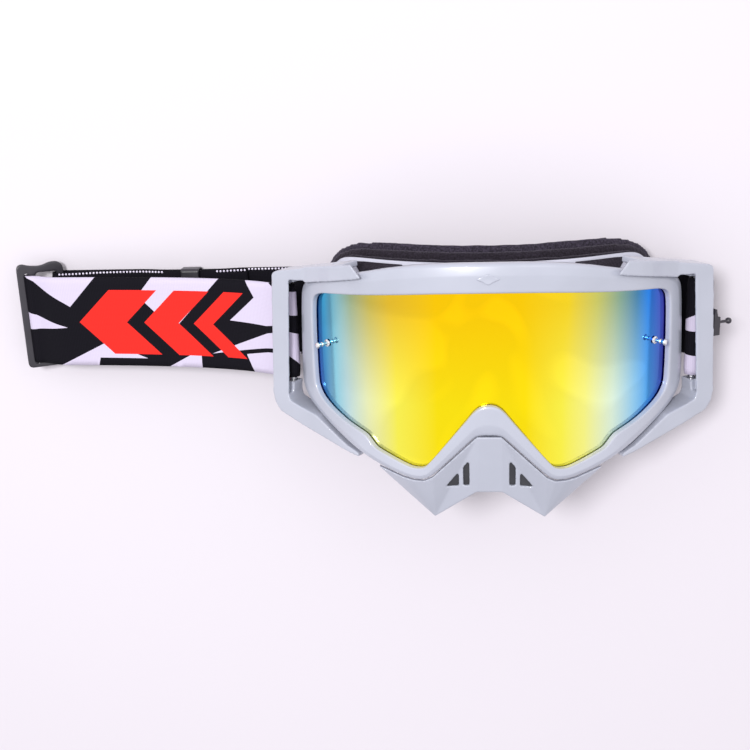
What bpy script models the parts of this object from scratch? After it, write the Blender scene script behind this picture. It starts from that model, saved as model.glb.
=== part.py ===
"""Motocross goggles lying on their back on a table, built piece by piece.

+X runs to the right temple, +Y to the forehead and +Z out of the table, so the lens faces up.
The origin is on the goggles' middle plane, on the flat underside of the strap's back run.
Lengths below are millimetres; everything is scaled to metres as the meshes are made.
"""
import math

import bmesh
import bpy
from mathutils import Matrix, Vector

MM = 0.001
GAP = 0.35

# Lens: part of a cylinder whose axis runs along Y.
LENS_RADIUS = 95.0
LENS_TOP = 73.0
LENS_THICKNESS = 1.2
LENS_HALF_WIDTH = 73.0
RIM_FACE = 2.5
PIN_X, PIN_Y = 65.0, -2.0

# Faces further back: the height of each at the middle and the radius that it curves with.
FLANGE_BACK = (50.0, 102.0)
FLANGE_THICKNESS = 1.8
FOAM_LAYERS = {
    "foam_base": (0.0, 0.31),
    "foam_middle": (0.35, 0.69),
    "foam_face": (0.73, 1.0),
}
FACE_SIDE = (36.5, 95.0)

# Openings in the wall between the flange and the rim: how far across, and from which Y to which.
VENT_SPREADS = ((31.0, 38.5), (40.5, 51.0))
VENT_ROWS = {"top": (18.0, 36.0), "bottom": (-58.0, -30.0)}
VENT_HEIGHT = 5.0

# Outriggers: flat plates that leave the frame at PLATE_X and fall away sideways.
PLATE_X = 54.0
PLATE_Z = 58.0
PLATE_TILT = math.atan(0.55)
PLATE_THICKNESS = 10.0
BAR_THICKNESS = 3.5
HINGE_X = 60.0
HINGE_Z = 48.5
# Each outrigger turns on two pins: name, Y of the joint face, and which way along Y the arm lies.
PIVOTS = (("top", 27.0, 1), ("low", -38.5, -1))
PIVOT_RADIUS = 1.25
PIVOT_HOLE_RADIUS = 1.55
PIVOT_SEAT_DEPTH = 4.5

# Strap
STRAP_WIDTH = 40.0
STRAP_THICKNESS = 1.5
STRAP_PLAY = 0.4
ROD_RADIUS = 1.5
ROD_PLAY = 0.3
ROD_SPAN = (-24.2, 23.9)
POCKET_HALF_WIDTH = 21.6
ROD_U = 36.5
WRAP_RADIUS = 2.95
LOOP_FALL = [(87.8, 23.6), (88.8, 26.0), (89.4, 28.4), (89.5, 30.8), (88.9, 32.7), (87.5, 34.2)]
BAND_Z = STRAP_THICKNESS / 2
SLIDER_RIGHT_X = -191.6
SLIDER_TILT = math.radians(27)
SLIDER_CENTRE = 12.2
SLIDER_OUTER = 17.8
SLIDER_SPAN = (-22.6, 24.0)
SLIDER_WINDOW = (-20.6, 20.9)
SLIDER_THICKNESS = 2.2
SLIDER_BAR = 1.5
KEEPER_X = -131.0
KEEPER_LENGTH = 8.0
KEEPER_HALF_WIDTH = 21.3
KEEPER_WINDOW = (20.35, 2.0)
KEEPER_ROOF = 1.8
HUMP_Z = 3.1

# Right half of each outline, from the middle of the brow round the temple to the nose.
LENS_OPENING = [
    (0, 24.2), (18, 23.8), (34, 22.6), (48, 21.2), (60.6, 19.9), (66.6, 19.2), (70.1, 17.3), (71.1, 13),
    (71.6, -2.8), (71.6, -18), (71, -22), (68.1, -26.4), (59.4, -32.3), (50.5, -36), (48.9, -37.2),
    (46, -40.8), (44, -42), (32, -46.8), (29, -47.2), (26, -46.8), (24, -45.2), (15.4, -34.4),
    (8, -25.2), (6, -22.6), (3.2, -20.4), (0, -19.8),
]
RIM_OUTER = [
    (0, 35.4), (20, 35.0), (36, 33.0), (50, 29.8), (64, 26.2), (72.2, 23.6), (76, 20.6), (77, 15),
    (78, -3), (78.6, -19), (78, -24), (74.8, -29), (68.1, -34.3), (60, -39.8), (57, -41.8),
    (52, -44.6), (44, -48.2), (34, -51.3), (29.8, -52), (26, -51.9), (22.6, -50), (13.8, -41.1),
    (6, -33.3), (4.2, -32.4), (2, -32.25), (0, -32.25),
]
FLANGE_OUTER = [
    (0, 30.6), (20, 30.6), (36, 30.6), (50, 30.8), (58.5, 30.4), (62.5, 27.8), (66.5, 22), (68.5, 15),
    (70, -3), (69.5, -18), (68.5, -23), (66, -28), (60, -33.5), (54, -37.5), (51, -39.5),
    (47, -42), (41, -45), (33, -48), (28.5, -48.5), (24.5, -47.5), (21.5, -45), (14, -35.5),
    (8, -27.5), (5.5, -24.8), (2.8, -23.2), (0, -22.8),
]
FACE_OUTER = [
    (0, 35), (20, 35.2), (36, 35.6), (49, 35), (58.5, 32.8), (64.5, 28.8), (69.5, 22.5), (72, 15),
    (73.2, -3), (72.5, -18), (71.5, -24), (69, -29.5), (63, -35.5), (57, -39.5), (53.5, -41.5),
    (49, -44), (42, -47), (33, -49.8), (28, -49.5), (24, -47.8), (21, -44.5), (13, -34),
    (7.5, -26), (5, -23.3), (2.5, -21.6), (0, -21),
]
EYE_OPENING = [
    (0, 22), (18, 22), (33, 22.2), (45, 21.5), (53, 19.5), (57, 16.5), (60, 12.5), (61.5, 7.5),
    (62.3, -4), (61.5, -14.5), (60, -19), (57.5, -22.5), (52.5, -26.5), (47.5, -29.8), (45, -31.3),
    (42, -33), (37.5, -35.2), (32.5, -36.8), (29.5, -36.8), (27, -35.6), (25, -33.4), (18.5, -24),
    (13, -16.5), (9.5, -12.8), (5, -10.6), (0, -10),
]

# How many straight pieces each stretch between two outline points is drawn with, where not one.
STRETCH_PIECES = {0: 3, 1: 2, 2: 2, 3: 2, 4: 2, 12: 2, 16: 2, 20: 2, 21: 2}

# Outrigger outline in its own plate: distance out along the plate, then Y.
OUTRIGGER_OUTER = [
    (2.8, 32.2), (37.1, 26.4), (38.6, 25.6), (39.2, 24.0), (42.2, -26.2), (41.4, -30.5),
    (38.8, -34.0), (27.7, -38.3), (5.0, -46.0), (-1.0, -47.4),
]
OUTRIGGER_INNER = [
    (-1.0, -45.8), (5.0, -43.2), (9.5, -40.2), (20.0, -32.9), (29.6, -30.0), (33.2, -28.6),
    (33.9, -26.3), (30.5, 23.3), (22.8, 23.7), (14.5, 26.4), (9.0, 27.9), (2.2, 29.8),
]

# Nose guard: where it meets the rim, then its two free corners.
GUARD_EDGE = [(4.7, -32.7), (22.3, -50.5), (25.8, -52.4), (29.9, -52.5), (34.1, -51.8), (44.3, -48.7)]
GUARD_TIP = (21.9, -70.2, 66.0)
GUARD_CHIN = (5.1, -57.0, 72.0)
GUARD_THICKNESS = 2.2
GUARD_VENTS = [
    [(7.8, -43.0), (7.8, -54.2), (10.2, -54.6), (10.2, -46.4)],
    [(12.0, -48.6), (12.0, -54.9), (17.4, -55.6)],
]

# The guard's hook in side view (Y, Z), and the slot in the rim that it slides in.
GUARD_CLIP = [
    (-36.5, 74.0), (-36.5, 66.3), (-29.0, 66.3), (-28.0, 67.2), (-29.0, 67.9), (-34.0, 67.9),
    (-34.0, 74.0),
]
GUARD_CLIP_HALF_WIDTH = 3.2
GUARD_SLOT = ((-3.7, -35, 65.6), (3.7, -22, 68.6))

# Sections round the lens: share of the way from the opening to the rim's edge, height over the lens.
RIM_PROFILE = [
    (0.0, 0.55), (0.0, 1.7), (0.14, 2.8), (0.86, 2.8), (1.0, 1.8), (1.0, -1.5), (0.62, -11.0),
    (0.30, -11.0), (0.55, -3.0), (0.55, 0.55),
]
GASKET_PROFILE = [(0.08, -1.55), (0.40, -1.55), (0.40, -2.95), (0.08, -2.95)]

# Turned parts: radius, then height over the lens or along the part's own axis.
PIN_HOLE_RADIUS = 1.35
PIN_PROFILE = [
    (1.0, -2.7), (1.0, 0.3), (1.6, 0.3), (1.6, 0.7), (0.75, 0.9), (0.75, 2.6), (1.0, 2.8),
    (1.0, 3.3), (0.75, 3.5), (0.75, 4.7), (1.3, 5.0), (1.3, 5.6), (1.0, 6.0),
]
NUT_PROFILE = [(PIN_HOLE_RADIUS, -1.55), (2.6, -1.55), (2.6, -2.3), (PIN_HOLE_RADIUS, -2.3)]

# Post for tear-off tabs, on the right outrigger's outer edge.
TAB_CLIP_U = 41.0
TAB_CLIP_DEPTH = (-3.2, -0.4)
TAB_STEM_RADIUS = 0.65
TAB_STEM_LENGTH = 3.7
TAB_BALL_RADIUS = 1.3
TAB_BALL_CENTRE = 4.8

# Lip on the upper arm that reaches over the rim: X, its two Y edges, and its heights over the lens.
ARM_LIP = [
    (48.8, 28.3, 28.9, 4.4, 5.9), (52.3, 27.5, 33.3, 4.4, 5.9), (58.0, 26.3, 32.3, 4.2, 5.7),
    (62.0, 25.4, 31.6, 4.2, 5.5), (66.7, 24.4, 30.7, 4.2, 5.3), (73.4, 22.9, 29.2, 4.2, 5.9),
]

WHITE_GREY = (0.62, 0.62, 0.70)
MATERIALS = {
    "frame_plastic": (WHITE_GREY, 0.3, 0.0),
    "soft_frame": ((0.50, 0.50, 0.58), 0.45, 0.0),
    "mirror_lens": ((0.98, 0.62, 0.03), 0.08, 1.0),
    "dark_foam": ((0.035, 0.027, 0.035), 0.95, 0.0),
    "strap_fabric": ((0.02, 0.016, 0.025), 0.9, 0.0),
    "black_plastic": ((0.025, 0.022, 0.03), 0.35, 0.0),
    "chrome": ((0.8, 0.8, 0.82), 0.1, 1.0),
    "steel": ((0.55, 0.55, 0.57), 0.3, 1.0),
}


def clear_scene():
    for item in list(bpy.data.objects):
        bpy.data.objects.remove(item, do_unlink=True)


def material(name):
    found = bpy.data.materials.get(name)
    if found:
        return found
    color, roughness, metallic = MATERIALS[name]
    made = bpy.data.materials.new(name)
    made.use_nodes = True
    shader = made.node_tree.nodes["Principled BSDF"]
    shader.inputs["Base Color"].default_value = (*color, 1.0)
    shader.inputs["Roughness"].default_value = roughness
    shader.inputs["Metallic"].default_value = metallic
    made.diffuse_color = (*color, 1.0)
    return made


def add_object(name, points, faces, slot, origin=(0, 0, 0)):
    """Make an object in metres from points in millimetres, with its faces pointing out."""
    mesh = bpy.data.meshes.new(name)
    start = Vector(origin)
    mesh.from_pydata([(Vector(p) - start) * MM for p in points], [], faces)
    shell = bmesh.new()
    shell.from_mesh(mesh)
    bmesh.ops.triangulate(shell, faces=[f for f in shell.faces if len(f.verts) > 4])
    bmesh.ops.recalc_face_normals(shell, faces=shell.faces)
    shell.to_mesh(mesh)
    shell.free()
    made = bpy.data.objects.new(name, mesh)
    made.location = start * MM
    mesh.materials.append(material(slot))
    bpy.context.scene.collection.objects.link(made)
    return made


def boolean(target, other, operation="DIFFERENCE"):
    """Cut or join another object into the target and keep that object as a hidden guide."""
    step = target.modifiers.new(operation.lower(), "BOOLEAN")
    step.operation = operation
    step.solver = "EXACT"
    step.object = other
    other.hide_render = True
    other.display_type = "WIRE"


# Points and outlines

def mix(a, b, t):
    return tuple(p + (q - p) * t for p, q in zip(a, b))


def between(outline, station):
    """The point on an outline at a station number that may lie between two of its points."""
    first = int(station)
    return mix(outline[first], outline[first + 1], station - first)


def stations(outline):
    """Station numbers along a right-half outline, with its long stretches divided."""
    found = []
    for i in range(len(outline) - 1):
        pieces = STRETCH_PIECES.get(i, 1)
        found += [i + k / pieces for k in range(pieces)]
    return found


def whole(outline):
    """Divide a right-half outline and close it with its mirror image."""
    half = [between(outline, station) for station in stations(outline)] + [outline[-1]]
    return half + [(-x, y) for x, y in reversed(half[1:-1])]


def lens_point(spot, ahead):
    """A point some way ahead of the lens; the spot's x is measured on the rim's front face."""
    radius = LENS_RADIUS + ahead
    slope = spot[0] / (LENS_RADIUS + RIM_FACE)
    return (slope * radius, spot[1], LENS_TOP - LENS_RADIUS + radius * math.sqrt(1 - slope * slope))


def arc_point(spot, arc, ahead=0.0):
    """A point above a face that curves with the given middle height and radius."""
    top, radius = arc
    return (spot[0], spot[1], top - radius + math.sqrt(radius * radius - spot[0] * spot[0]) + ahead)


def plate_point(u, y, w, side=1):
    """A point in an outrigger's plate: u outwards, w forwards out of its front face."""
    x = PLATE_X + u * math.cos(PLATE_TILT) + w * math.sin(PLATE_TILT)
    return (side * x, y, PLATE_Z - u * math.sin(PLATE_TILT) + w * math.cos(PLATE_TILT))


def curve(start, pull_a, pull_b, end, count):
    """Points along a cubic curve in the XZ plane."""
    found = []
    for i in range(count + 1):
        t = i / count
        weights = ((1 - t) ** 3, 3 * t * (1 - t) ** 2, 3 * t * t * (1 - t), t ** 3)
        parts = (start, pull_a, pull_b, end)
        found.append(tuple(sum(w * p[k] for w, p in zip(weights, parts)) for k in (0, 1)))
    return found


def wrap(centre, radius, first, last, count):
    """Points round a bar in the XZ plane, from one angle to another in degrees."""
    angles = [math.radians(first + (last - first) * i / count) for i in range(count + 1)]
    return [(centre[0] + radius * math.cos(a), centre[1] + radius * math.sin(a)) for a in angles]


# Solids

def ring(name, sections, slot):
    """A closed band: one section polygon at each station round the outline."""
    size = len(sections[0])
    points = [p for section in sections for p in section]
    faces = []
    for i in range(len(sections)):
        j = (i + 1) % len(sections)
        for k in range(size):
            m = (k + 1) % size
            faces.append((i * size + k, i * size + m, j * size + m, j * size + k))
    return add_object(name, points, faces, slot)


def segment(name, sections, slot):
    """A bar with closed ends: one section polygon at each station along it."""
    size = len(sections[0])
    points = [p for section in sections for p in section]
    faces = []
    for i in range(len(sections) - 1):
        for k in range(size):
            m = (k + 1) % size
            faces.append((i * size + k, i * size + m, (i + 1) * size + m, (i + 1) * size + k))
    last = (len(sections) - 1) * size
    faces.append(tuple(range(size)))
    faces.append(tuple(last + k for k in range(size)))
    return add_object(name, points, faces, slot)


def box(name, low, high, slot, frame=Matrix.Identity(4)):
    corners = [(x, y, z) for z in (low[2], high[2]) for y in (low[1], high[1]) for x in (low[0], high[0])]
    faces = [(0, 1, 3, 2), (4, 5, 7, 6), (0, 1, 5, 4), (2, 3, 7, 6), (0, 2, 6, 4), (1, 3, 7, 5)]
    return add_object(name, [tuple(frame @ Vector(c)) for c in corners], faces, slot)


def turned(name, profile, frame, slot, sides=12, hollow=False):
    """Turn (radius, height) points round the frame's Z axis."""
    points = []
    faces = []
    for radius, height in profile:
        for i in range(sides):
            angle = 2 * math.pi * i / sides
            spot = Vector((radius * math.cos(angle), radius * math.sin(angle), height))
            points.append(tuple(frame @ spot))
    rows = len(profile)
    for r in range(rows if hollow else rows - 1):
        s = (r + 1) % rows
        for i in range(sides):
            j = (i + 1) % sides
            faces.append((r * sides + i, r * sides + j, s * sides + j, s * sides + i))
    if not hollow:
        faces.append(tuple(range(sides)))
        faces.append(tuple((rows - 1) * sides + i for i in range(sides)))
    return add_object(name, points, faces, slot)


def facing(origin, direction):
    """A frame at the origin whose Z axis points along the direction."""
    return Matrix.Translation(origin) @ Vector(direction).to_track_quat("Z", "Y").to_matrix().to_4x4()


def ribbon(name, path, slot, thickness=STRAP_THICKNESS, half_width=STRAP_WIDTH / 2):
    """A strap of even thickness whose middle line is the path in the XZ plane."""
    sections = []
    for i, (x, z) in enumerate(path):
        before = Vector(path[max(i - 1, 0)])
        after = Vector(path[min(i + 1, len(path) - 1)])
        along = (after - before).normalized()
        side = Vector((-along.y, along.x)) * thickness / 2
        sections.append([
            (x + side.x, -half_width, z + side.y), (x + side.x, half_width, z + side.y),
            (x - side.x, half_width, z - side.y), (x - side.x, -half_width, z - side.y),
        ])
    return segment(name, sections, slot)


# Sub-parts

def make_frame_shell():
    """The hard rim over the lens, with a wall that draws in behind it."""
    sections = []
    for inner, outer in zip(whole(LENS_OPENING), whole(RIM_OUTER)):
        sections.append([lens_point(mix(inner, outer, t), ahead) for t, ahead in RIM_PROFILE])
    shell = ring("frame_shell", sections, "frame_plastic")
    boolean(shell, box("guard_slot_cutter", *GUARD_SLOT, "steel"))
    bore = [(PIVOT_HOLE_RADIUS, -PIVOT_SEAT_DEPTH), (PIVOT_HOLE_RADIUS, PIVOT_SEAT_DEPTH)]
    for side in (-1, 1):
        for end, y, _ in PIVOTS:
            seat = facing((side * HINGE_X, y, HINGE_Z), (0, 1, 0))
            boolean(shell, turned(f"pivot_seat_cutter_{end}_{side}", bore, seat, "steel"))
    return shell


def make_face_frame():
    """The flexible inner frame: lens seat, vented wall and the flange that carries the foam."""
    sections = []
    parts = zip(whole(LENS_OPENING), whole(RIM_OUTER), whole(FLANGE_OUTER), whole(EYE_OPENING))
    for inner, outer, flange, eye in parts:
        front = FLANGE_THICKNESS
        sections.append([
            lens_point(mix(inner, outer, 0.45), -3.3),
            lens_point(mix(inner, outer, 0.39), -5.0),
            lens_point(mix(inner, outer, 0.18), -11.0),
            arc_point(mix(flange, eye, 0.22), FLANGE_BACK, front + 0.2),
            arc_point(flange, FLANGE_BACK, front - 0.4),
            arc_point(flange, FLANGE_BACK),
            arc_point(mix(flange, eye, 0.85), FLANGE_BACK),
            arc_point(mix(flange, eye, 0.85), FLANGE_BACK, front),
            arc_point(mix(flange, eye, 0.46), FLANGE_BACK, front + 0.2),
            lens_point(mix(inner, outer, -0.08), -11.0),
            lens_point(mix(inner, outer, 0.06), -5.0),
            lens_point(mix(inner, outer, 0.03), -3.3),
        ])
    wall = ring("face_frame", sections, "soft_frame")
    for side in (-1, 1):
        for row, (low, high) in VENT_ROWS.items():
            for place, spread in enumerate(VENT_SPREADS):
                sections = []
                for x in spread:
                    base = arc_point((x, 0), FLANGE_BACK, FLANGE_THICKNESS + 0.8)[2]
                    quad = [(low, base), (high, base), (high, base + VENT_HEIGHT), (low, base + VENT_HEIGHT)]
                    sections.append([(side * x, y, z) for y, z in quad])
                boolean(wall, segment(f"vent_cutter_{row}_{side}_{place}", sections, "steel"))
    return wall


def outline_height(outline, x):
    """Y on a stretch of outline at x, on straight lines between its points."""
    ordered = sorted(outline)
    for (x0, y0), (x1, y1) in zip(ordered, ordered[1:]):
        if x0 <= x <= x1:
            return y0 if x1 == x0 else y0 + (y1 - y0) * (x - x0) / (x1 - x0)
    return ordered[-1][1]


def make_lens():
    """The curved pane, made of upright strips so that it keeps the cylinder's shape."""
    edge = [mix(a, b, 0.30) for a, b in zip(LENS_OPENING, RIM_OUTER)]
    widest = max(range(len(edge)), key=lambda i: edge[i][0])
    upper = edge[:widest + 1]
    lower = edge[widest:]
    columns = {round(x, 3) for x, _ in edge if x < LENS_HALF_WIDTH} | {4.0, 12.0, 40.0, 55.0}
    columns = sorted(columns | {LENS_HALF_WIDTH})
    columns = [-x for x in reversed(columns[1:])] + columns
    sections = []
    for x in columns:
        top = outline_height(upper, abs(x))
        low = outline_height(lower, abs(x))
        back = -LENS_THICKNESS
        sections.append([lens_point((x, top), 0), lens_point((x, low), 0),
                         lens_point((x, low), back), lens_point((x, top), back)])
    lens = segment("lens", sections, "mirror_lens")
    for side in (-1, 1):
        bore = [(PIN_HOLE_RADIUS, -4), (PIN_HOLE_RADIUS, 3)]
        boolean(lens, turned(f"pin_hole_cutter_{side}", bore, pin_frame(side), "steel"))
    return lens


def pin_frame(side):
    """A frame on the lens surface at a tear-off pin, with Z straight out of the lens."""
    spot = lens_point((side * PIN_X * (LENS_RADIUS + RIM_FACE) / LENS_RADIUS, PIN_Y), 0)
    return facing(spot, (spot[0], 0, spot[2] - LENS_TOP + LENS_RADIUS))


def make_gasket():
    """The foam seal that the lens presses on."""
    sections = []
    for inner, outer in zip(whole(LENS_OPENING), whole(RIM_OUTER)):
        sections.append([lens_point(mix(inner, outer, t), ahead) for t, ahead in GASKET_PROFILE])
    ring("lens_gasket", sections, "dark_foam")


def make_tear_off_pins():
    """The pins that stacked tear-off films hook on, each held by a push nut behind the lens."""
    for word, side in (("left", -1), ("right", 1)):
        frame = pin_frame(side)
        turned(f"tear_off_pin_{word}", PIN_PROFILE, frame, "chrome")
        turned(f"pin_nut_{word}", NUT_PROFILE, frame, "black_plastic", hollow=True)


def make_foam():
    """Three foam layers from the flange to the face, flaring as they go back."""
    face = [arc_point(p, FACE_SIDE) for p in whole(FACE_OUTER)]
    for name, (near, far) in FOAM_LAYERS.items():
        sections = []
        for flange, outer, eye in zip(whole(FLANGE_OUTER), face, whole(EYE_OPENING)):
            front_out = arc_point(flange, FLANGE_BACK, -GAP)
            front_in = arc_point(eye, FLANGE_BACK, -GAP)
            back_in = arc_point(eye, FACE_SIDE)
            sections.append([mix(front_out, outer, near), mix(front_out, outer, far),
                             mix(front_in, back_in, far), mix(front_in, back_in, near)])
        ring(name, sections, "dark_foam")


def make_vent_filters():
    """Thin foam behind the openings in the wall."""
    stretches = {"top": (1.75, 2, 3, 3.2), "bottom": (15.3, 16, 17, 17.6)}
    for word, side in (("left", -1), ("right", 1)):
        for row, places in stretches.items():
            sections = []
            for station in places:
                outlines = (LENS_OPENING, RIM_OUTER, FLANGE_OUTER, EYE_OPENING)
                inner, outer, flange, eye = (between(outline, station) for outline in outlines)
                quad = [
                    lens_point(mix(inner, outer, -0.26), -10.0),
                    arc_point(mix(flange, eye, 0.60), FLANGE_BACK, FLANGE_THICKNESS + 0.9),
                    arc_point(mix(flange, eye, 0.72), FLANGE_BACK, FLANGE_THICKNESS + 0.9),
                    lens_point(mix(inner, outer, -0.42), -10.0),
                ]
                sections.append([(side * x, y, z) for x, y, z in quad])
            segment(f"vent_filter_{row}_{word}", sections, "dark_foam")


def reached(x, y, ahead, side):
    """A point over the lens at a true X, on either side."""
    spot = lens_point((x * (LENS_RADIUS + RIM_FACE) / (LENS_RADIUS + ahead), y), ahead)
    return (side * x, y, spot[2])


def make_outrigger(word, side):
    """The arm beside the temple: two thick ends joined by a thin upright bar."""
    outline = OUTRIGGER_OUTER + OUTRIGGER_INNER
    count = len(outline)
    points = [plate_point(u, y, w, side) for w in (0.0, -PLATE_THICKNESS) for u, y in outline]
    faces = [tuple(range(count)), tuple(range(count, 2 * count))]
    for i in range(count):
        j = (i + 1) % count
        faces.append((i, j, j + count, i + count))
    hinge = (side * HINGE_X, 0, HINGE_Z)
    arm = add_object(f"outrigger_{word}", points, faces, "frame_plastic", origin=hinge)
    lip = []
    for x, low, high, under, over in ARM_LIP:
        corners = ((low, under), (high, under), (high, over), (low, over))
        lip.append([reached(x, y, ahead, side) for y, ahead in corners])
    boolean(arm, segment(f"arm_lip_{word}", lip, "frame_plastic"), "UNION")
    half = POCKET_HALF_WIDTH
    pocket = [plate_point(u, y, w, side)
              for u in (20, 50) for y in (-half, half) for w in (-BAR_THICKNESS, -14)]
    sides = [(0, 1, 3, 2), (4, 5, 7, 6), (0, 1, 5, 4), (2, 3, 7, 6), (0, 2, 6, 4), (1, 3, 7, 5)]
    boolean(arm, add_object(f"strap_pocket_cutter_{word}", pocket, sides, "steel"))
    rod_depth = BAR_THICKNESS + STRAP_PLAY + STRAP_THICKNESS + ROD_PLAY + ROD_RADIUS
    rod_spot = plate_point(ROD_U, 0, -rod_depth, side)
    rod_frame = facing(rod_spot, (0, 1, 0))
    hole = ROD_RADIUS + ROD_PLAY
    low, high = ROD_SPAN
    rod_hole = [(hole, low - 0.4), (hole, high + 0.4)]
    boolean(arm, turned(f"rod_hole_cutter_{word}", rod_hole, rod_frame, "steel"))
    turned(f"strap_rod_{word}", [(ROD_RADIUS, low), (ROD_RADIUS, high)], rod_frame, "steel")
    bore = [(PIVOT_HOLE_RADIUS, -1), (PIVOT_HOLE_RADIUS, 12)]
    pin = [(PIVOT_RADIUS, -3.2), (PIVOT_RADIUS, 3.4)]
    for end, y, turn in PIVOTS:
        frame = facing((side * HINGE_X, y, HINGE_Z), (0, turn, 0))
        boolean(arm, turned(f"pivot_hole_cutter_{end}_{word}", bore, frame, "steel"))
        turned(f"pivot_pin_{end}_{word}", pin, frame, "steel")
    return rod_spot


def make_strap_loop(word, side, rod_spot):
    """The sewn end of the strap round the rod inside the outrigger."""
    level = -(BAR_THICKNESS + STRAP_PLAY + STRAP_THICKNESS / 2)
    rod = (abs(rod_spot[0]), rod_spot[2])
    tilt = -math.degrees(PLATE_TILT)
    hole = ROD_RADIUS + ROD_PLAY
    turn = wrap(rod, hole + STRAP_THICKNESS / 2, 90 + tilt, 270 + tilt, 10)
    if side < 0:
        start = plate_point(45.0, 0, level, 1)
        lead = [(start[0], start[2])]
        inner_end = 43.0
    else:
        lead = LOOP_FALL
        inner_end = 41.0
    back = plate_point(inner_end, 0, level - 2 * hole - STRAP_THICKNESS + 1.2, 1)
    path = lead + turn + [(back[0], back[2])]
    ribbon(f"strap_loop_{word}", [(side * x, z) for x, z in path], "strap_fabric")
    return lead[0]


def make_strap(left_end, right_end):
    """The front run, the back run that folds into its own tail, and the two sliders."""
    right_bar = (SLIDER_RIGHT_X, WRAP_RADIUS + BAND_Z)
    step = (-SLIDER_CENTRE * math.cos(SLIDER_TILT), SLIDER_CENTRE * math.sin(SLIDER_TILT))
    centre_bar = (right_bar[0] + step[0], right_bar[1] + step[1])
    tilt = math.degrees(SLIDER_TILT)

    out = (math.cos(PLATE_TILT), -math.sin(PLATE_TILT))
    begin = (-left_end[0] - 1.0 * out[0], left_end[1] + 1.0 * out[1])
    over = wrap(centre_bar, WRAP_RADIUS, 90 - tilt, 250 - tilt, 10)
    along = (math.cos(SLIDER_TILT), -math.sin(SLIDER_TILT))
    reach = (over[0][0] + along[0] * 14, over[0][1] + along[1] * -2 + 3.2)
    front = curve(begin, (begin[0] - 21, begin[1] + 21 * -0.55), (-150, 17.5), reach, 16)
    ribbon("strap_front", front[:-1] + curve(reach, (reach[0] - 6, reach[1] - 0.6),
                                             (over[0][0] + 3, over[0][1] + 0.2), over[0], 4) + over[1:],
           "strap_fabric")

    begin = (right_end[0] + 1.0, right_end[1] - 1.4)
    back = curve(begin, (begin[0] - 0.5, begin[1] - 10), (90, BAND_Z), (72, BAND_Z), 12)
    crest = [(KEEPER_X + 26, BAND_Z), (KEEPER_X + 19, BAND_Z + 0.7), (KEEPER_X + 13, HUMP_Z),
             (KEEPER_X - 13, HUMP_Z), (KEEPER_X - 19, BAND_Z + 0.7), (KEEPER_X - 26, BAND_Z)]
    turn = wrap(right_bar, WRAP_RADIUS, 270, 90, 10)
    lift = STRAP_THICKNESS + 0.5
    tail = [(right_bar[0] + 8, right_bar[1] + WRAP_RADIUS - 0.6), (right_bar[0] + 18, BAND_Z + lift + 0.9)]
    tail += [(x, z + lift) for x, z in reversed(crest)]
    ribbon("strap_back", back + crest + turn + tail[:-1] + [(KEEPER_X + 25, BAND_Z + lift + 0.1)],
           "strap_fabric")

    make_fold_slider(right_bar, tilt)
    bottom, top = 0.0, HUMP_Z + lift + STRAP_THICKNESS / 2 + 0.4
    half = KEEPER_LENGTH / 2
    width = KEEPER_HALF_WIDTH
    keeper = box("slider_back", (KEEPER_X - half, -width, bottom),
                 (KEEPER_X + half, width, top + KEEPER_ROOF), "black_plastic")
    inside, floor = KEEPER_WINDOW
    window = box("keeper_cutter", (KEEPER_X - 9, -inside, floor), (KEEPER_X + 9, inside, top), "steel")
    boolean(keeper, window)


def make_fold_slider(right_bar, tilt):
    """The three-bar slider that stands in the strap's left fold."""
    frame = Matrix.Translation((right_bar[0], 0, right_bar[1])) @ Matrix.Rotation(math.radians(tilt), 4, "Y")
    half = SLIDER_THICKNESS / 2
    bar = SLIDER_BAR
    low, high = SLIDER_SPAN
    plate = box("slider_fold", (-SLIDER_OUTER - bar, low, -half), (bar, high, half), "black_plastic", frame)
    places = (0.0, -SLIDER_CENTRE, -SLIDER_OUTER)
    low, high = SLIDER_WINDOW
    for i in range(2):
        slot = box(f"slider_slot_cutter_{i}", (places[i + 1] + bar, low, -4),
                   (places[i] - bar, high, 4), "steel", frame)
        boolean(plate, slot)


def make_nose_guard():
    """The folded plate below the nose arch, with a clip that enters the frame."""
    edge = [(x, y, lens_point((x, y), RIM_FACE)[2]) for x, y in GUARD_EDGE]
    right = edge + [GUARD_TIP, GUARD_CHIN]
    points = right + [(-x, y, z) for x, y, z in right]
    count = len(points)
    points += [(x, y, z - GUARD_THICKNESS) for x, y, z in points]
    half = len(right)
    tip, chin = len(edge), len(edge) + 1
    side = [(0, 1, tip), (0, tip, chin)] + [(i, i + 1, tip) for i in range(1, len(edge) - 1)]
    top = side + [tuple(i + half for i in face) for face in side] + [(0, chin, chin + half, half)]
    rim = [0, 1, 2, 3, 4, 5, tip, chin, chin + half, tip + half] + [i + half for i in (5, 4, 3, 2, 1, 0)]
    faces = top + [tuple(i + count for i in face) for face in top]
    for i, j in zip(rim, rim[1:] + rim[:1]):
        faces.append((i, j, j + count, i + count))
    guard = add_object("nose_guard", points, faces, "frame_plastic")
    width = GUARD_CLIP_HALF_WIDTH
    sections = [[(x, y, z) for y, z in GUARD_CLIP] for x in (-width, width)]
    boolean(guard, segment("guard_clip", sections, "frame_plastic"), "UNION")
    for turn in (-1, 1):
        for i, vent in enumerate(GUARD_VENTS):
            sections = [[(turn * x, y, z) for x, y in vent] for z in (60, 80)]
            boolean(guard, segment(f"guard_vent_cutter_{turn}_{i}", sections, "steel"))


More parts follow.
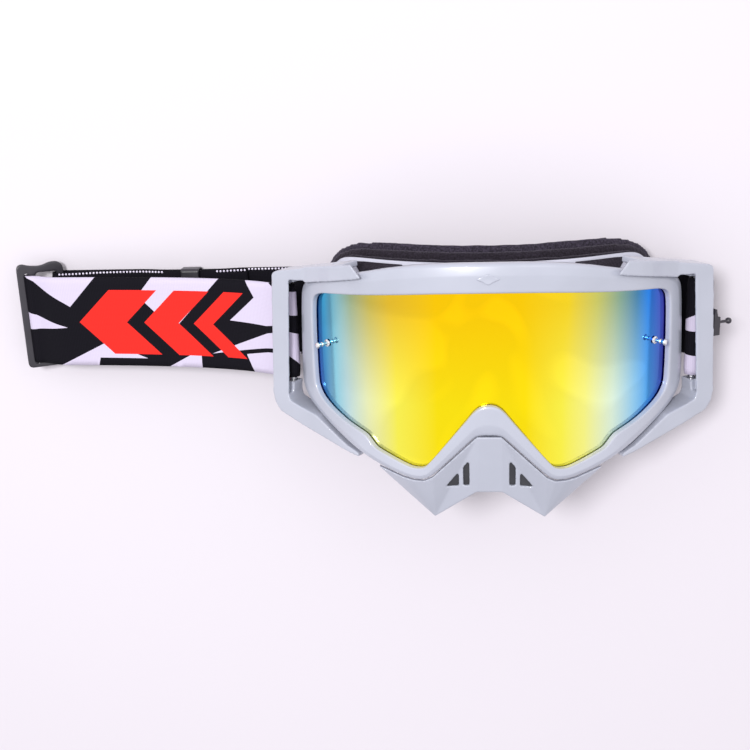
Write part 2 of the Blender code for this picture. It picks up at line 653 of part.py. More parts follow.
def make_tab_post():
    """The clip with a ball-ended post on the right outrigger that tear-off tabs hook on."""
    u = TAB_CLIP_U
    low, high = TAB_CLIP_DEPTH
    outline = [(u + 0.1, -3.4), (u + 3.1, -3.4), (u + 3.1, 4.1), (u + 1.9, 4.4), (u + 1.3, 7.4),
               (u + 0.6, 7.4), (u + 0.1, 4.4)]
    sections = [[plate_point(x, y, w) for x, y in outline] for w in (low, high)]
    segment("tab_clip", sections, "black_plastic")
    spot = plate_point(u + 3.1 + GAP, 1.6, (low + high) / 2)
    frame = facing(spot, (math.cos(PLATE_TILT), 0, -math.sin(PLATE_TILT)))
    ball = [(TAB_STEM_RADIUS, 0.0), (TAB_STEM_RADIUS, TAB_STEM_LENGTH)]
    for angle in (0.6, 1.1, 1.57, 2.1, 2.7):
        height = TAB_BALL_CENTRE - TAB_BALL_RADIUS * math.cos(angle)
        ball.append((TAB_BALL_RADIUS * math.sin(angle), height))
    turned("tab_post", ball, frame, "black_plastic")


def main():
    clear_scene()
    make_frame_shell()
    make_face_frame()
    make_lens()
    make_gasket()
    make_tear_off_pins()
    make_foam()
    make_vent_filters()
    left_end = make_strap_loop("left", -1, make_outrigger("left", -1))
    right_end = make_strap_loop("right", 1, make_outrigger("right", 1))
    make_strap(left_end, right_end)
    make_nose_guard()
    make_tab_post()


main()
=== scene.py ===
import bisect
import math

import bmesh
import bpy
from mathutils import Matrix, Vector, noise


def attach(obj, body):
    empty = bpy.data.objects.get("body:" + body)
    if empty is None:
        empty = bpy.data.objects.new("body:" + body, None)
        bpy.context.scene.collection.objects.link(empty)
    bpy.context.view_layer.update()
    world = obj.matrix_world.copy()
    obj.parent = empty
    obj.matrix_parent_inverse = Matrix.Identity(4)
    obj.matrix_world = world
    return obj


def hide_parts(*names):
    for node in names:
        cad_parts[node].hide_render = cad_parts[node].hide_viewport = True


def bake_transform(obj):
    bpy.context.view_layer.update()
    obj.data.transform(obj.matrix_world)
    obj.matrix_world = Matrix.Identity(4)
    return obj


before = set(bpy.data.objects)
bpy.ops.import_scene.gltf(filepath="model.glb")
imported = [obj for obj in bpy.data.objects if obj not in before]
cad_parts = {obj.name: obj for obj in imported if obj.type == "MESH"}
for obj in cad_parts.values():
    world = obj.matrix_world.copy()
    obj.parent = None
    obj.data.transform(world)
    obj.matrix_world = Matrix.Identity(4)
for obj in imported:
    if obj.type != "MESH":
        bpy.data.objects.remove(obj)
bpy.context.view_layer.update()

# Motocross goggles on their back, lens up. +X is the right temple, +Y the forehead, +Z up from the
# table. Sizes below are millimetres unless a name says otherwise; meshes are made in metres.

MM = 0.001

# ---------------------------------------------------------------- sizes shared with the CAD part

LENS_RADIUS = 95.0
LENS_TOP = 73.0
LENS_THICKNESS = 1.2
LENS_REACH = 0.30
RIM_FACE = 2.5
PIN_X = 65.0
PIN_Y = -2.0
FLANGE_BACK = (50.0, 102.0)
FLANGE_THICKNESS = 1.8
FACE_SIDE = (36.5, 95.0)
FOAM_LAYERS = {"base": (0.0, 0.31), "middle": (0.35, 0.69), "face": (0.73, 1.0)}
VENT_SPREADS = ((31.0, 38.5), (40.5, 51.0))
VENT_ROWS = {"top": (18.0, 36.0), "bottom": (-58.0, -30.0)}
VENT_HEIGHT = 5.0
PLATE_X = 54.0
PLATE_Z = 58.0
PLATE_TILT = math.atan(0.55)
PLATE_THICKNESS = 10.0
BAR_THICKNESS = 3.5
HINGE_X = 60.0
HINGE_Z = 48.5
# Each outrigger turns on two pins: name, Y of the joint face, and which way along Y the arm lies.
PIVOTS = (("top", 27.0, 1), ("low", -38.5, -1))
PIVOT_HOLE_RADIUS = 1.55
STRAP_WIDTH = 40.0
STRAP_THICKNESS = 1.5
STRAP_PLAY = 0.4
ROD_RADIUS = 1.5
ROD_PLAY = 0.3
ROD_SPAN = (-24.2, 23.9)
ROD_U = 36.5
ROD_W = -7.2
POCKET_HALF_WIDTH = 21.6
WRAP_RADIUS = 2.95
LOOP_FALL = [(87.8, 23.6), (88.8, 26.0), (89.4, 28.4), (89.5, 30.8), (88.9, 32.7), (87.5, 34.2)]
BAND_Z = STRAP_THICKNESS / 2
SLIDER_RIGHT_X = -191.6
SLIDER_TILT = math.radians(27)
SLIDER_CENTRE = 12.2
SLIDER_OUTER = 17.8
KEEPER_X = -131.0
KEEPER_HALF_LENGTH = 4.0
HUMP_Z = 3.1
TAIL_LIFT = STRAP_THICKNESS + 0.5

# Right half of each outline, from the middle of the brow round the temple to the nose.
LENS_OPENING = [
    (0, 24.2), (18, 23.8), (34, 22.6), (48, 21.2), (60.6, 19.9), (66.6, 19.2), (70.1, 17.3), (71.1, 13),
    (71.6, -2.8), (71.6, -18), (71, -22), (68.1, -26.4), (59.4, -32.3), (50.5, -36), (48.9, -37.2),
    (46, -40.8), (44, -42), (32, -46.8), (29, -47.2), (26, -46.8), (24, -45.2), (15.4, -34.4),
    (8, -25.2), (6, -22.6), (3.2, -20.4), (0, -19.8),
]
RIM_OUTER = [
    (0, 35.4), (20, 35.0), (36, 33.0), (50, 29.8), (64, 26.2), (72.2, 23.6), (76, 20.6), (77, 15),
    (78, -3), (78.6, -19), (78, -24), (74.8, -29), (68.1, -34.3), (60, -39.8), (57, -41.8),
    (52, -44.6), (44, -48.2), (34, -51.3), (29.8, -52), (26, -51.9), (22.6, -50), (13.8, -41.1),
    (6, -33.3), (4.2, -32.4), (2, -32.25), (0, -32.25),
]
FLANGE_OUTER = [
    (0, 30.6), (20, 30.6), (36, 30.6), (50, 30.8), (58.5, 30.4), (62.5, 27.8), (66.5, 22), (68.5, 15),
    (70, -3), (69.5, -18), (68.5, -23), (66, -28), (60, -33.5), (54, -37.5), (51, -39.5),
    (47, -42), (41, -45), (33, -48), (28.5, -48.5), (24.5, -47.5), (21.5, -45), (14, -35.5),
    (8, -27.5), (5.5, -24.8), (2.8, -23.2), (0, -22.8),
]
FACE_OUTER = [
    (0, 36.2), (20, 36.4), (36, 36.8), (49, 36.2), (58.5, 33.8), (64.5, 29.4), (69.5, 22.5), (72, 15),
    (73.2, -3), (72.5, -18), (71.5, -24), (69, -29.5), (63, -35.5), (57, -39.5), (53.5, -41.5),
    (49, -44), (42, -47), (33, -49.8), (28, -49.5), (24, -47.8), (21, -44.5), (13, -34),
    (7.5, -26), (5, -23.3), (2.5, -21.6), (0, -21),
]
EYE_OPENING = [
    (0, 22), (18, 22), (33, 22.2), (45, 21.5), (53, 19.5), (57, 16.5), (60, 12.5), (61.5, 7.5),
    (62.3, -4), (61.5, -14.5), (60, -19), (57.5, -22.5), (52.5, -26.5), (47.5, -29.8), (45, -31.3),
    (42, -33), (37.5, -35.2), (32.5, -36.8), (29.5, -36.8), (27, -35.6), (25, -33.4), (18.5, -24),
    (13, -16.5), (9.5, -12.8), (5, -10.6), (0, -10),
]
# Outrigger outline in its own plate: distance out along the plate, then Y.
OUTRIGGER = [
    (2.8, 32.2), (37.1, 26.4), (38.6, 25.6), (39.2, 24.0), (42.2, -26.2), (41.4, -30.5),
    (38.8, -34.0), (27.7, -38.3), (5.0, -46.0), (-1.0, -47.4), (-1.0, -45.8), (5.0, -43.2),
    (9.5, -40.2), (20.0, -32.9), (29.6, -30.0), (33.2, -28.6), (33.9, -26.3), (30.5, 23.3),
    (22.8, 23.7), (14.5, 26.4), (9.0, 27.9), (2.2, 29.8),
]
# Lip on the upper arm that reaches over the rim: X, its two Y edges, and its heights over the lens.
ARM_LIP = [
    (48.8, 28.3, 28.9, 4.4, 5.9), (52.3, 27.5, 33.3, 4.4, 5.9), (58.0, 26.3, 32.3, 4.2, 5.7),
    (62.0, 25.4, 31.6, 4.2, 5.5), (66.7, 24.4, 30.7, 4.2, 5.3), (73.4, 22.9, 29.2, 4.2, 5.9),
]
GUARD_EDGE = [(4.7, -32.7), (22.3, -50.5), (25.8, -52.4), (29.9, -52.5), (34.1, -51.8), (44.3, -48.7)]
GUARD_TIP = (21.9, -70.2, 66.0)
GUARD_CHIN = (5.1, -57.0, 72.0)
GUARD_THICKNESS = 2.2
GUARD_VENTS = [
    [(7.8, -43.0), (7.8, -54.2), (10.2, -54.6), (10.2, -46.4)],
    [(12.0, -48.6), (12.0, -54.9), (17.4, -55.6)],
]
# The guard's hook in side view, as (Y, Z), and half its width.
GUARD_CLIP = [
    (-36.5, 74.0), (-36.5, 66.3), (-29.0, 66.3), (-28.0, 67.2), (-29.0, 67.9), (-34.0, 67.9),
    (-34.0, 74.0),
]
GUARD_CLIP_HALF_WIDTH = 3.2

# Sections round the lens: share of the way from the opening to the rim's edge, height over the lens.
RIM_PROFILE = [
    (0.0, 0.5), (0.0, 2.1), (0.012, 2.45), (0.04, 2.66), (0.08, 2.74), (0.13, 2.77), (0.56, 2.98),
    (0.60, 2.98), (0.64, 2.94), (0.86, 2.52), (0.91, 2.38), (0.95, 2.14), (0.98, 1.8), (1.0, 1.3),
    (1.0, -1.4), (0.96, -2.5), (0.62, -11.0), (0.30, -11.0), (0.55, -3.0), (0.55, 0.5), (0.28, 0.45),
]
GASKET_PROFILE = [(0.08, -1.55), (0.40, -1.55), (0.40, -2.95), (0.08, -2.95)]

# Turned parts, as (radius, height over the lens or along the part's own axis).
PIN_PROFILE = [
    (1.0, -2.7), (1.0, 0.3), (1.5, 0.3), (1.6, 0.4), (1.5, 0.65), (0.8, 0.9), (0.7, 1.2),
    (0.7, 2.5), (0.95, 2.75), (1.0, 3.05), (0.95, 3.35), (0.7, 3.6), (0.7, 4.6),
    (0.8, 4.8), (1.2, 4.95), (1.3, 5.2), (1.25, 5.55), (0.9, 5.9), (0.4, 6.0),
]
NUT_PROFILE = [(1.35, -1.5), (2.4, -1.5), (2.6, -1.7), (2.6, -2.2), (2.4, -2.3), (1.35, -2.3)]
TAB_STEM = [(0.95, -0.3), (0.7, 0.2), (0.6, 0.8), (0.6, 3.5)]
TAB_BALL_RADIUS = 1.3
TAB_BALL_CENTRE = 4.8
TAB_CLIP_U = 41.0
TAB_CLIP_DEPTH = (-3.2, -0.4)

# Silicone beads on the strap: the Y of each row, their spacing, the gap at the keeper, and the
# (radius, height) of each bead's rings.
BEAD_ROWS = (19.4, -19.4)
BEAD_PITCH = 1.5
BEAD_GAP = 25.0
BEAD_RIGHT_END = 66.0
BEAD_RINGS = ((0.5, 0.0), (0.36, 0.35), (0.12, 0.5))
BEAD_SIDES = 8

# Printed pieces of the strap's front run, as (X, Y) corners seen from the front.
PRINT_WHITE = [
    [(-205, 20.5), (-170.6, 20.5), (-183.6, 6.9)],
    [(-206.6, 4.3), (-185.8, -2.6), (-205.9, -4.5)],
    [(-191.7, -20.5), (-168.3, -9.1), (-149.8, -16.4), (-172.1, -16.3), (-173.3, -20.5)],
    [(-144.7, 20.5), (-113.8, 20.5), (-136.7, -3.2), (-152, 12)],
    [(-141, -20.5), (-129.7, -14.3), (-124.4, -9.4), (-124.8, -20.5)],
    [(-102, 20.5), (-91.4, 20.5), (-88, 18), (-88, 2.0), (-93, 1.2), (-110, 2.2), (-98, 13)],
    [(-119.4, -13.2), (-92.6, -2), (-88, -1), (-88, -8), (-93.9, -8.7)],
    [(-103.1, -12.3), (-92.5, -10.3), (-88, -10), (-88, -20.5), (-92.8, -20.5), (-99.8, -20.5)],
]
PRINT_RED = [
    [(-180, 0), (-165, 14.5), (-143, 14.5), (-158, 0), (-143, -14.5), (-165, -14.5)],
    [(-150, 0), (-135, 14.5), (-119, 14.5), (-134, 0), (-119, -14.5), (-135, -14.5)],
    [(-127, 0), (-112, 14.5), (-103, 14.5), (-118, 0), (-103, -14.5), (-112, -14.5)],
]

# Camera, in metres: where it stands, what it looks at, which way is up, and its turn about its view.
CAMERA_PLACE = (0.0, 0.11906, 0.47733)
CAMERA_TARGET = (-0.0478, -0.0204, 0.033)
CAMERA_UP = (0.0, 0.9659, -0.2588)
CAMERA_ROLL = math.radians(0.6)
CAMERA_LENS = 53.2

# Lamps, in metres and watts: name, place, size, power.
LAMPS = (
    ("main_lamp", (-0.24, 0.36, 1.10), 0.26, 10.5),
    ("fill_lamp", (0.45, 0.55, 0.90), 0.40, 0.6),
)
TABLE_HALF_SIZE = 3.0
STUDIO_STRENGTH = 1.06
# Studio walls, from the one at the wearer's chin (0) to the middle of the room (1).
STUDIO_STOPS = [
    (0.0, (0.30, 0.29, 0.31)), (0.36, (0.40, 0.39, 0.41)), (0.52, (0.97, 0.96, 0.98)),
    (1.0, (1.0, 0.99, 1.0)),
]


# ---------------------------------------------------------------- points and outlines

def mix(a, b, t):
    return tuple(p + (q - p) * t for p, q in zip(a, b))


def between(outline, station):
    """The point on an outline at a station number that may lie between two of its points."""
    first = int(station)
    return mix(outline[first], outline[first + 1], station - first)


def cut_corners(points, rounds, closed=True):
    """Corner cutting, which turns a coarse outline into a smooth one; the ends of an open one stay."""
    for _ in range(rounds):
        found = [] if closed else [points[0]]
        count = len(points) if closed else len(points) - 1
        for i in range(count):
            a, b = points[i], points[(i + 1) % len(points)]
            found += [mix(a, b, 0.25), mix(a, b, 0.75)]
        points = found if closed else found + [points[-1]]
    return points


def whole(outline, rounds=3):
    """Close a right-half outline with its mirror image and smooth it."""
    return cut_corners(outline + [(-x, y) for x, y in reversed(outline[1:-1])], rounds)


def round_corners(points, radius, steps=5):
    """A closed outline with each corner replaced by a small curve."""
    found = []
    for i, corner in enumerate(points):
        before, after = points[i - 1], points[(i + 1) % len(points)]
        reach_in = min(radius, 0.45 * math.dist(corner, before))
        reach_out = min(radius, 0.45 * math.dist(corner, after))
        start = mix(corner, before, reach_in / math.dist(corner, before))
        end = mix(corner, after, reach_out / math.dist(corner, after))
        for k in range(steps + 1):
            t = k / steps
            found.append(mix(mix(start, corner, t), mix(corner, end, t), t))
    return found


def lens_point(spot, ahead):
    """A point some way ahead of the lens; the spot's x is measured on the rim's front face."""
    radius = LENS_RADIUS + ahead
    slope = spot[0] / (LENS_RADIUS + RIM_FACE)
    return (slope * radius, spot[1], LENS_TOP - LENS_RADIUS + radius * math.sqrt(1 - slope * slope))


def arc_point(spot, arc, ahead=0.0):
    """A point above a face that curves with the given middle height and radius."""
    top, radius = arc
    return (spot[0], spot[1], top - radius + math.sqrt(radius * radius - spot[0] * spot[0]) + ahead)


def plate_point(u, y, w, side=1):
    """A point in an outrigger's plate: u outwards, w forwards out of its front face."""
    x = PLATE_X + u * math.cos(PLATE_TILT) + w * math.sin(PLATE_TILT)
    return (side * x, y, PLATE_Z - u * math.sin(PLATE_TILT) + w * math.cos(PLATE_TILT))


def curve(start, pull_a, pull_b, end, count):
    """Points along a cubic curve in the XZ plane."""
    found = []
    for i in range(count + 1):
        t = i / count
        weights = ((1 - t) ** 3, 3 * t * (1 - t) ** 2, 3 * t * t * (1 - t), t ** 3)
        parts = (start, pull_a, pull_b, end)
        found.append(tuple(sum(w * p[k] for w, p in zip(weights, parts)) for k in (0, 1)))
    return found


def wrap(centre, radius, first, last, count):
    """Points round a bar in the XZ plane, from one angle to another in degrees."""
    angles = [math.radians(first + (last - first) * i / count) for i in range(count + 1)]
    return [(centre[0] + radius * math.cos(a), centre[1] + radius * math.sin(a)) for a in angles]


def facing(origin, direction):
    """A frame at the origin whose Z axis points along the direction."""
    return Matrix.Translation(origin) @ Vector(direction).to_track_quat("Z", "Y").to_matrix().to_4x4()


# ---------------------------------------------------------------- mesh tools

def shade(mesh, angle=32.0):
    """Smooth shading that stays sharp at edges steeper than the angle."""
    mesh.shade_smooth()
    mesh.set_sharp_from_angle(angle=math.radians(angle))


def face_out(mesh):
    """Turn every face of a closed mesh outwards."""
    shell = bmesh.new()
    shell.from_mesh(mesh)
    bmesh.ops.recalc_face_normals(shell, faces=shell.faces)
    shell.to_mesh(mesh)
    shell.free()


def add_mesh(name, points, faces, finish, angle=32.0):
    """Make an object in metres from points in millimetres, with its faces pointing out."""
    mesh = bpy.data.meshes.new(name)
    mesh.from_pydata([Vector(p) * MM for p in points], [], faces)
    face_out(mesh)
    made = bpy.data.objects.new(name, mesh)
    mesh.materials.append(finish)
    bpy.context.scene.collection.objects.link(made)
    shade(mesh, angle)
    return made


def ring(name, sections, finish, angle=32.0):
    """A closed band: one section polygon at each station round the outline."""
    size = len(sections[0])
    points = [p for section in sections for p in section]
    faces = []
    for i in range(len(sections)):
        j = (i + 1) % len(sections)
        for k in range(size):
            m = (k + 1) % size
            faces.append((i * size + k, i * size + m, j * size + m, j * size + k))
    return add_mesh(name, points, faces, finish, angle)


def loft(name, sections, finish, angle=32.0):
    """A bar with closed ends: one section polygon at each station along it."""
    size = len(sections[0])
    points = [p for section in sections for p in section]
    faces = [tuple(range(size)), tuple(len(points) - size + k for k in range(size))]
    for i in range(len(sections) - 1):
        for k in range(size):
            m = (k + 1) % size
            faces.append((i * size + k, i * size + m, (i + 1) * size + m, (i + 1) * size + k))
    return add_mesh(name, points, faces, finish, angle)


def turned(name, profile, place, finish, sides=40, hollow=False, angle=40.0):
    """Turn (radius, height) points round the place's Z axis."""
    sections = []
    for radius, height in profile:
        angles = [2 * math.pi * i / sides for i in range(sides)]
        sections.append([tuple(place @ Vector((radius * math.cos(a), radius * math.sin(a), height)))
                         for a in angles])
    if hollow:
        return ring(name, sections, finish, angle)
    return loft(name, sections, finish, angle)


def slab(name, outline, low, high, place, finish):
    """A flat plate between two heights over an outline.

    place turns an outline's point and a height into a point in space.
    """
    return loft(name, [[place(a, b, w) for a, b in outline] for w in (low, high)], finish)


def cut(target, cutters, operation="DIFFERENCE"):
    """Cut or join other objects into the target for good."""
    for other in cutters:
        step = target.modifiers.new("cut", "BOOLEAN")
        step.operation = operation
        step.solver = "EXACT"
        step.object = other
    bake(target)
    for other in cutters:
        bpy.data.objects.remove(other, do_unlink=True)
    shade(target.data)


def bake(obj):
    """Replace an object's mesh with what its modifiers make of it."""
    graph = bpy.context.evaluated_depsgraph_get()
    made = bpy.data.meshes.new_from_object(obj.evaluated_get(graph))
    obj.modifiers.clear()
    obj.data = made


def mould(obj, voxel, passes):
    """Round every edge as a moulding has them: a fine even mesh, then a few smoothing passes."""
    step = obj.modifiers.new("even", "REMESH")
    step.mode = "VOXEL"
    step.voxel_size = voxel * MM
    step.use_smooth_shade = True
    step = obj.modifiers.new("round", "SMOOTH")
    step.factor = 0.5
    step.iterations = passes
    bake(obj)
    obj.data.shade_smooth()


def place_piece(obj, slot, body, *nodes):
    """Hang a piece on the body that it rides on and hide the CAD nodes that it stands for; slot is not used.
    """
    if nodes:
        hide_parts(*nodes)
    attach(obj, body)


# ---------------------------------------------------------------- materials

def new_material(name, color, roughness, metallic=0.0):
    """A plain material, its node tree and its shader node."""
    made = bpy.data.materials.new(name)
    made.use_nodes = True
    shader = made.node_tree.nodes["Principled BSDF"]
    shader.inputs["Base Color"].default_value = (*color, 1.0)
    shader.inputs["Roughness"].default_value = roughness
    shader.inputs["Metallic"].default_value = metallic
    made.diffuse_color = (*color, 1.0)
    return made, made.node_tree, shader


def node(tree, kind, **values):
    """A node with some of its inputs or settings filled in."""
    made = tree.nodes.new(kind)
    for key, value in values.items():
        if key in made.inputs:
            made.inputs[key].default_value = value
        else:
            setattr(made, key, value)
    return made


def noise_value(tree, scale, detail=3.0, distortion=0.0):
    """A value from 0 to 1 that varies over the object, in cells per metre."""
    where = tree.nodes.new("ShaderNodeTexCoord")
    made = node(tree, "ShaderNodeTexNoise", Scale=scale, Detail=detail, Distortion=distortion)
    tree.links.new(where.outputs["Object"], made.inputs["Vector"])
    return made.outputs["Fac"]


def map_range(tree, source, first, last):
    """A value from 0 to 1 as the source goes from the first number to the last."""
    made = node(tree, "ShaderNodeMapRange")
    made.inputs["From Min"].default_value = first
    made.inputs["From Max"].default_value = last
    tree.links.new(source, made.inputs["Value"])
    return made.outputs["Result"]


def ramp(tree, source, stops, target=None):
    """Turn a value from 0 to 1 into a colour by (place, colour) stops, and link it to a target."""
    made = tree.nodes.new("ShaderNodeValToRGB")
    band = made.color_ramp
    while len(band.elements) < len(stops):
        band.elements.new(0.5)
    for element, (place, color) in zip(band.elements, stops):
        element.position = place
        element.color = (*color, 1.0)
    tree.links.new(source, made.inputs["Fac"])
    if target:
        tree.links.new(made.outputs["Color"], target)
    return made.outputs["Color"]


def mix_colors(tree, blend_type, share, first, second):
    """Blend two colour sockets; the share is a number, or a socket that it comes from."""
    made = node(tree, "ShaderNodeMix", data_type="RGBA", blend_type=blend_type)
    if isinstance(share, float):
        made.inputs[0].default_value = share
    else:
        tree.links.new(share, made.inputs[0])
    tree.links.new(first, made.inputs[6])
    tree.links.new(second, made.inputs[7])
    return made.outputs[2]


def bump(tree, shader, height, distance, strength):
    """Raise the shader's surface by a height value, at most by the distance in metres."""
    made = node(tree, "ShaderNodeBump", Strength=strength, Distance=distance)
    tree.links.new(height, made.inputs["Height"])
    tree.links.new(made.outputs["Normal"], shader.inputs["Normal"])


def plastic(name, dark, light, roughness, grain=900.0, gloss=0.0):
    """Moulded plastic: slight mottling, a fine grain and an uneven gloss."""
    made, tree, shader = new_material(name, light, roughness)
    ramp(tree, noise_value(tree, 35.0), [(0.35, dark), (0.65, light)], shader.inputs["Base Color"])
    low, high = roughness * 0.85, min(1.0, roughness * 1.2)
    ramp(tree, noise_value(tree, 120.0), [(0.3, (low,) * 3), (0.7, (high,) * 3)], shader.inputs["Roughness"])
    shader.inputs["Coat Weight"].default_value = gloss
    shader.inputs["Coat Roughness"].default_value = 0.07
    bump(tree, shader, noise_value(tree, grain, 2.0), 0.00002, 0.12)
    return made


def metal(name, color, roughness):
    """Polished or turned metal with a faintly uneven shine."""
    made, tree, shader = new_material(name, color, roughness, 1.0)
    stops = [(0.3, (roughness * 0.7,) * 3), (0.7, (roughness * 1.5,) * 3)]
    ramp(tree, noise_value(tree, 1500.0), stops, shader.inputs["Roughness"])
    return made


def foam_material(name, dark, light):
    """Foam faced with fleece: fine pile that catches light at its edges."""
    made, tree, shader = new_material(name, dark, 0.95)
    fine = noise_value(tree, 1400.0, 6.0)
    ramp(tree, fine, [(0.35, dark), (0.68, light)], shader.inputs["Base Color"])
    shader.inputs["Specular IOR Level"].default_value = 0.15
    shader.inputs["Sheen Weight"].default_value = 0.12
    shader.inputs["Sheen Roughness"].default_value = 0.5
    shader.inputs["Sheen Tint"].default_value = (0.75, 0.68, 0.85, 1.0)
    bump(tree, shader, fine, 0.0005, 0.9)
    return made


def woven(name, color, pick, sheen=0.0):
    """Elastic webbing: ribs across the strap and fine threads along it, from the piece's UV map."""
    made, tree, shader = new_material(name, color, 0.85)
    where = tree.nodes.new("ShaderNodeTexCoord")
    ribs = node(tree, "ShaderNodeTexWave", Scale=0.42, Distortion=0.6, Detail=1.0, bands_direction="X")
    threads = node(tree, "ShaderNodeTexWave", Scale=0.55, Distortion=0.4, Detail=1.0, bands_direction="Y")
    both = node(tree, "ShaderNodeMath", operation="MULTIPLY")
    for number, wave in enumerate((ribs, threads)):
        tree.links.new(where.outputs["UV"], wave.inputs["Vector"])
        tree.links.new(wave.outputs["Fac"], both.inputs[number])
    ramp(tree, both.outputs["Value"], [(0.0, pick), (0.7, color)], shader.inputs["Base Color"])
    shader.inputs["Specular IOR Level"].default_value = 0.12
    shader.inputs["Sheen Weight"].default_value = sheen
    shader.inputs["Sheen Roughness"].default_value = 0.4
    bump(tree, shader, both.outputs["Value"], 0.0001, 0.6)
    return made


# Mirror colours across the pane, by X: the upper part first, then the paler lower part. They are the
# coating's tint with painted reflection colour: the shift of colour with the angle of view that a
# mirror coating shows is painted in fixed by place. The one gives way to the other from the first Y
# of BAND_FADE, in metres, to the second. BAND_REACH is how far the bands go to each side of the
# middle, in millimetres.
BAND_REACH = 72.0
BAND_FADE = (0.018, -0.022)
UPPER_TINT_AND_REFLECTION_BANDS = [
    (-71.0, (0.02, 0.10, 0.42)), (-66.0, (0.04, 0.40, 0.66)), (-60.0, (0.24, 0.50, 0.56)),
    (-54.0, (0.34, 0.43, 0.25)), (-46.0, (0.58, 0.47, 0.08)), (-38.0, (0.80, 0.52, 0.03)),
    (-20.0, (1.0, 0.61, 0.002)), (12.0, (1.0, 0.63, 0.002)), (30.0, (0.95, 0.69, 0.02)),
    (41.0, (0.62, 0.61, 0.14)), (50.0, (0.26, 0.42, 0.30)), (57.0, (0.07, 0.24, 0.42)),
    (62.0, (0.02, 0.24, 0.85)), (70.0, (0.10, 0.06, 0.50)),
]
LOWER_TINT_AND_REFLECTION_BANDS = [
    (-71.0, (0.12, 0.22, 0.80)), (-67.0, (0.05, 0.24, 0.50)), (-62.0, (0.30, 0.66, 0.80)),
    (-57.0, (0.54, 0.75, 0.77)), (-48.0, (0.80, 0.84, 0.45)), (-36.0, (0.98, 0.91, 0.09)),
    (-20.0, (1.0, 0.80, 0.006)), (14.0, (1.0, 0.78, 0.004)), (28.0, (1.0, 0.92, 0.07)),
    (37.0, (0.96, 0.94, 0.24)), (48.0, (0.72, 0.88, 0.70)), (57.0, (0.30, 0.62, 0.88)),
    (63.0, (0.08, 0.40, 0.90)), (70.0, (0.05, 0.04, 0.40)),
]


def lens_material():
    """Mirror coating in soft bands of colour, its tint with painted reflection colour, under faint uneven
    patches of painted reflection.
    """
    made, tree, shader = new_material("mirror_lens", (0.99, 0.66, 0.02), 0.09, 1.0)
    where = tree.nodes.new("ShaderNodeTexCoord")
    parts = tree.nodes.new("ShaderNodeSeparateXYZ")
    tree.links.new(where.outputs["Object"], parts.inputs[0])
    across = map_range(tree, parts.outputs["X"], -BAND_REACH * MM, BAND_REACH * MM)
    down = map_range(tree, parts.outputs["Y"], *BAND_FADE)
    bands = []
    # the coating's tint with painted reflection colour, fixed by place across and down the pane
    for group in (UPPER_TINT_AND_REFLECTION_BANDS, LOWER_TINT_AND_REFLECTION_BANDS):
        bands.append(ramp(tree, across, [((x + BAND_REACH) / (2 * BAND_REACH), c) for x, c in group]))
    colors = mix_colors(tree, "MIX", down, *bands)
    # painted reflection: faint uneven darker patches over the coating's colour
    painted_reflection_veil = ramp(tree, noise_value(tree, 22.0, 1.0, 0.8), [(0.46, (0.92,) * 3), (0.52, (1.0,) * 3)])
    tree.links.new(mix_colors(tree, "MULTIPLY", 1.0, colors, painted_reflection_veil), shader.inputs["Base Color"])
    shader.inputs["Coat Weight"].default_value = 0.05
    shader.inputs["Coat Roughness"].default_value = 0.03
    return made


def make_materials():
    """Every material by the name that the pieces ask for it with."""
    return {
        "frame": plastic("frame_plastic", (0.345, 0.358, 0.425), (0.375, 0.388, 0.46), 0.34, gloss=0.7),
        "soft": plastic("soft_frame", (0.40, 0.40, 0.47), (0.48, 0.48, 0.56), 0.45, grain=1500.0),
        "black": plastic("black_plastic", (0.016, 0.014, 0.02), (0.03, 0.027, 0.036), 0.33, grain=1800.0),
        # painted shade: dark panels under the nose guard's openings, where there is only shadow below
        "window": plastic("painted_shade_panel", (0.02, 0.02, 0.025), (0.05, 0.05, 0.06), 0.6, grain=1200.0),
        "lens": lens_material(),
        "chrome": metal("chrome", (0.86, 0.86, 0.88), 0.07),
        "steel": metal("steel", (0.55, 0.55, 0.58), 0.28),
        "foam_base": foam_material("foam_base", (0.006, 0.005, 0.007), (0.016, 0.012, 0.019)),
        "foam_middle": foam_material("foam_middle", (0.008, 0.006, 0.009), (0.022, 0.017, 0.026)),
        "foam_face": foam_material("foam_face", (0.012, 0.010, 0.015), (0.046, 0.037, 0.058)),
        "gasket": foam_material("gasket_foam", (0.01, 0.01, 0.012), (0.03, 0.03, 0.035)),
        "strap_black": woven("strap_black", (0.006, 0.0052, 0.0095), (0.003, 0.0025, 0.005)),
        "strap_white": woven("strap_white", (0.56, 0.505, 0.64), (0.50, 0.45, 0.58), sheen=0.05),
        "strap_red": woven("strap_red", (0.74, 0.024, 0.018), (0.67, 0.020, 0.015)),
        "bead": plastic("silicone", (0.62, 0.56, 0.72), (0.80, 0.75, 0.88), 0.3),
    }


# ---------------------------------------------------------------- frame and lens

def rim_sections(profile, rounds):
    """Section polygons round the lens opening, with the profile's corners cut so many times."""
    profile = cut_corners(profile, rounds)
    pairs = zip(whole(LENS_OPENING), whole(RIM_OUTER))
    return [[lens_point(mix(inner, outer, t), n) for t, n in profile] for inner, outer in pairs]


def make_rim(finish):
    """The hard frame over the lens."""
    rim = ring("rim", rim_sections(RIM_PROFILE, 0), finish["frame"], 58.0)
    place_piece(rim, "frame_plastic", "goggles", "frame_shell")


def make_emblem(finish):
    """A plain raised diamond at the middle of the brow."""
    outline = [(-4.6, 29.6), (0.0, 27.5), (4.6, 29.6), (0.0, 31.7)]

    def spot(a, b, w):
        return lens_point((a, b), w)

    emblem = slab("brow_diamond", outline, 1.8, 3.3, spot, finish["frame"])
    mould(emblem, 0.25, 2)
    place_piece(emblem, "frame_plastic", "goggles")


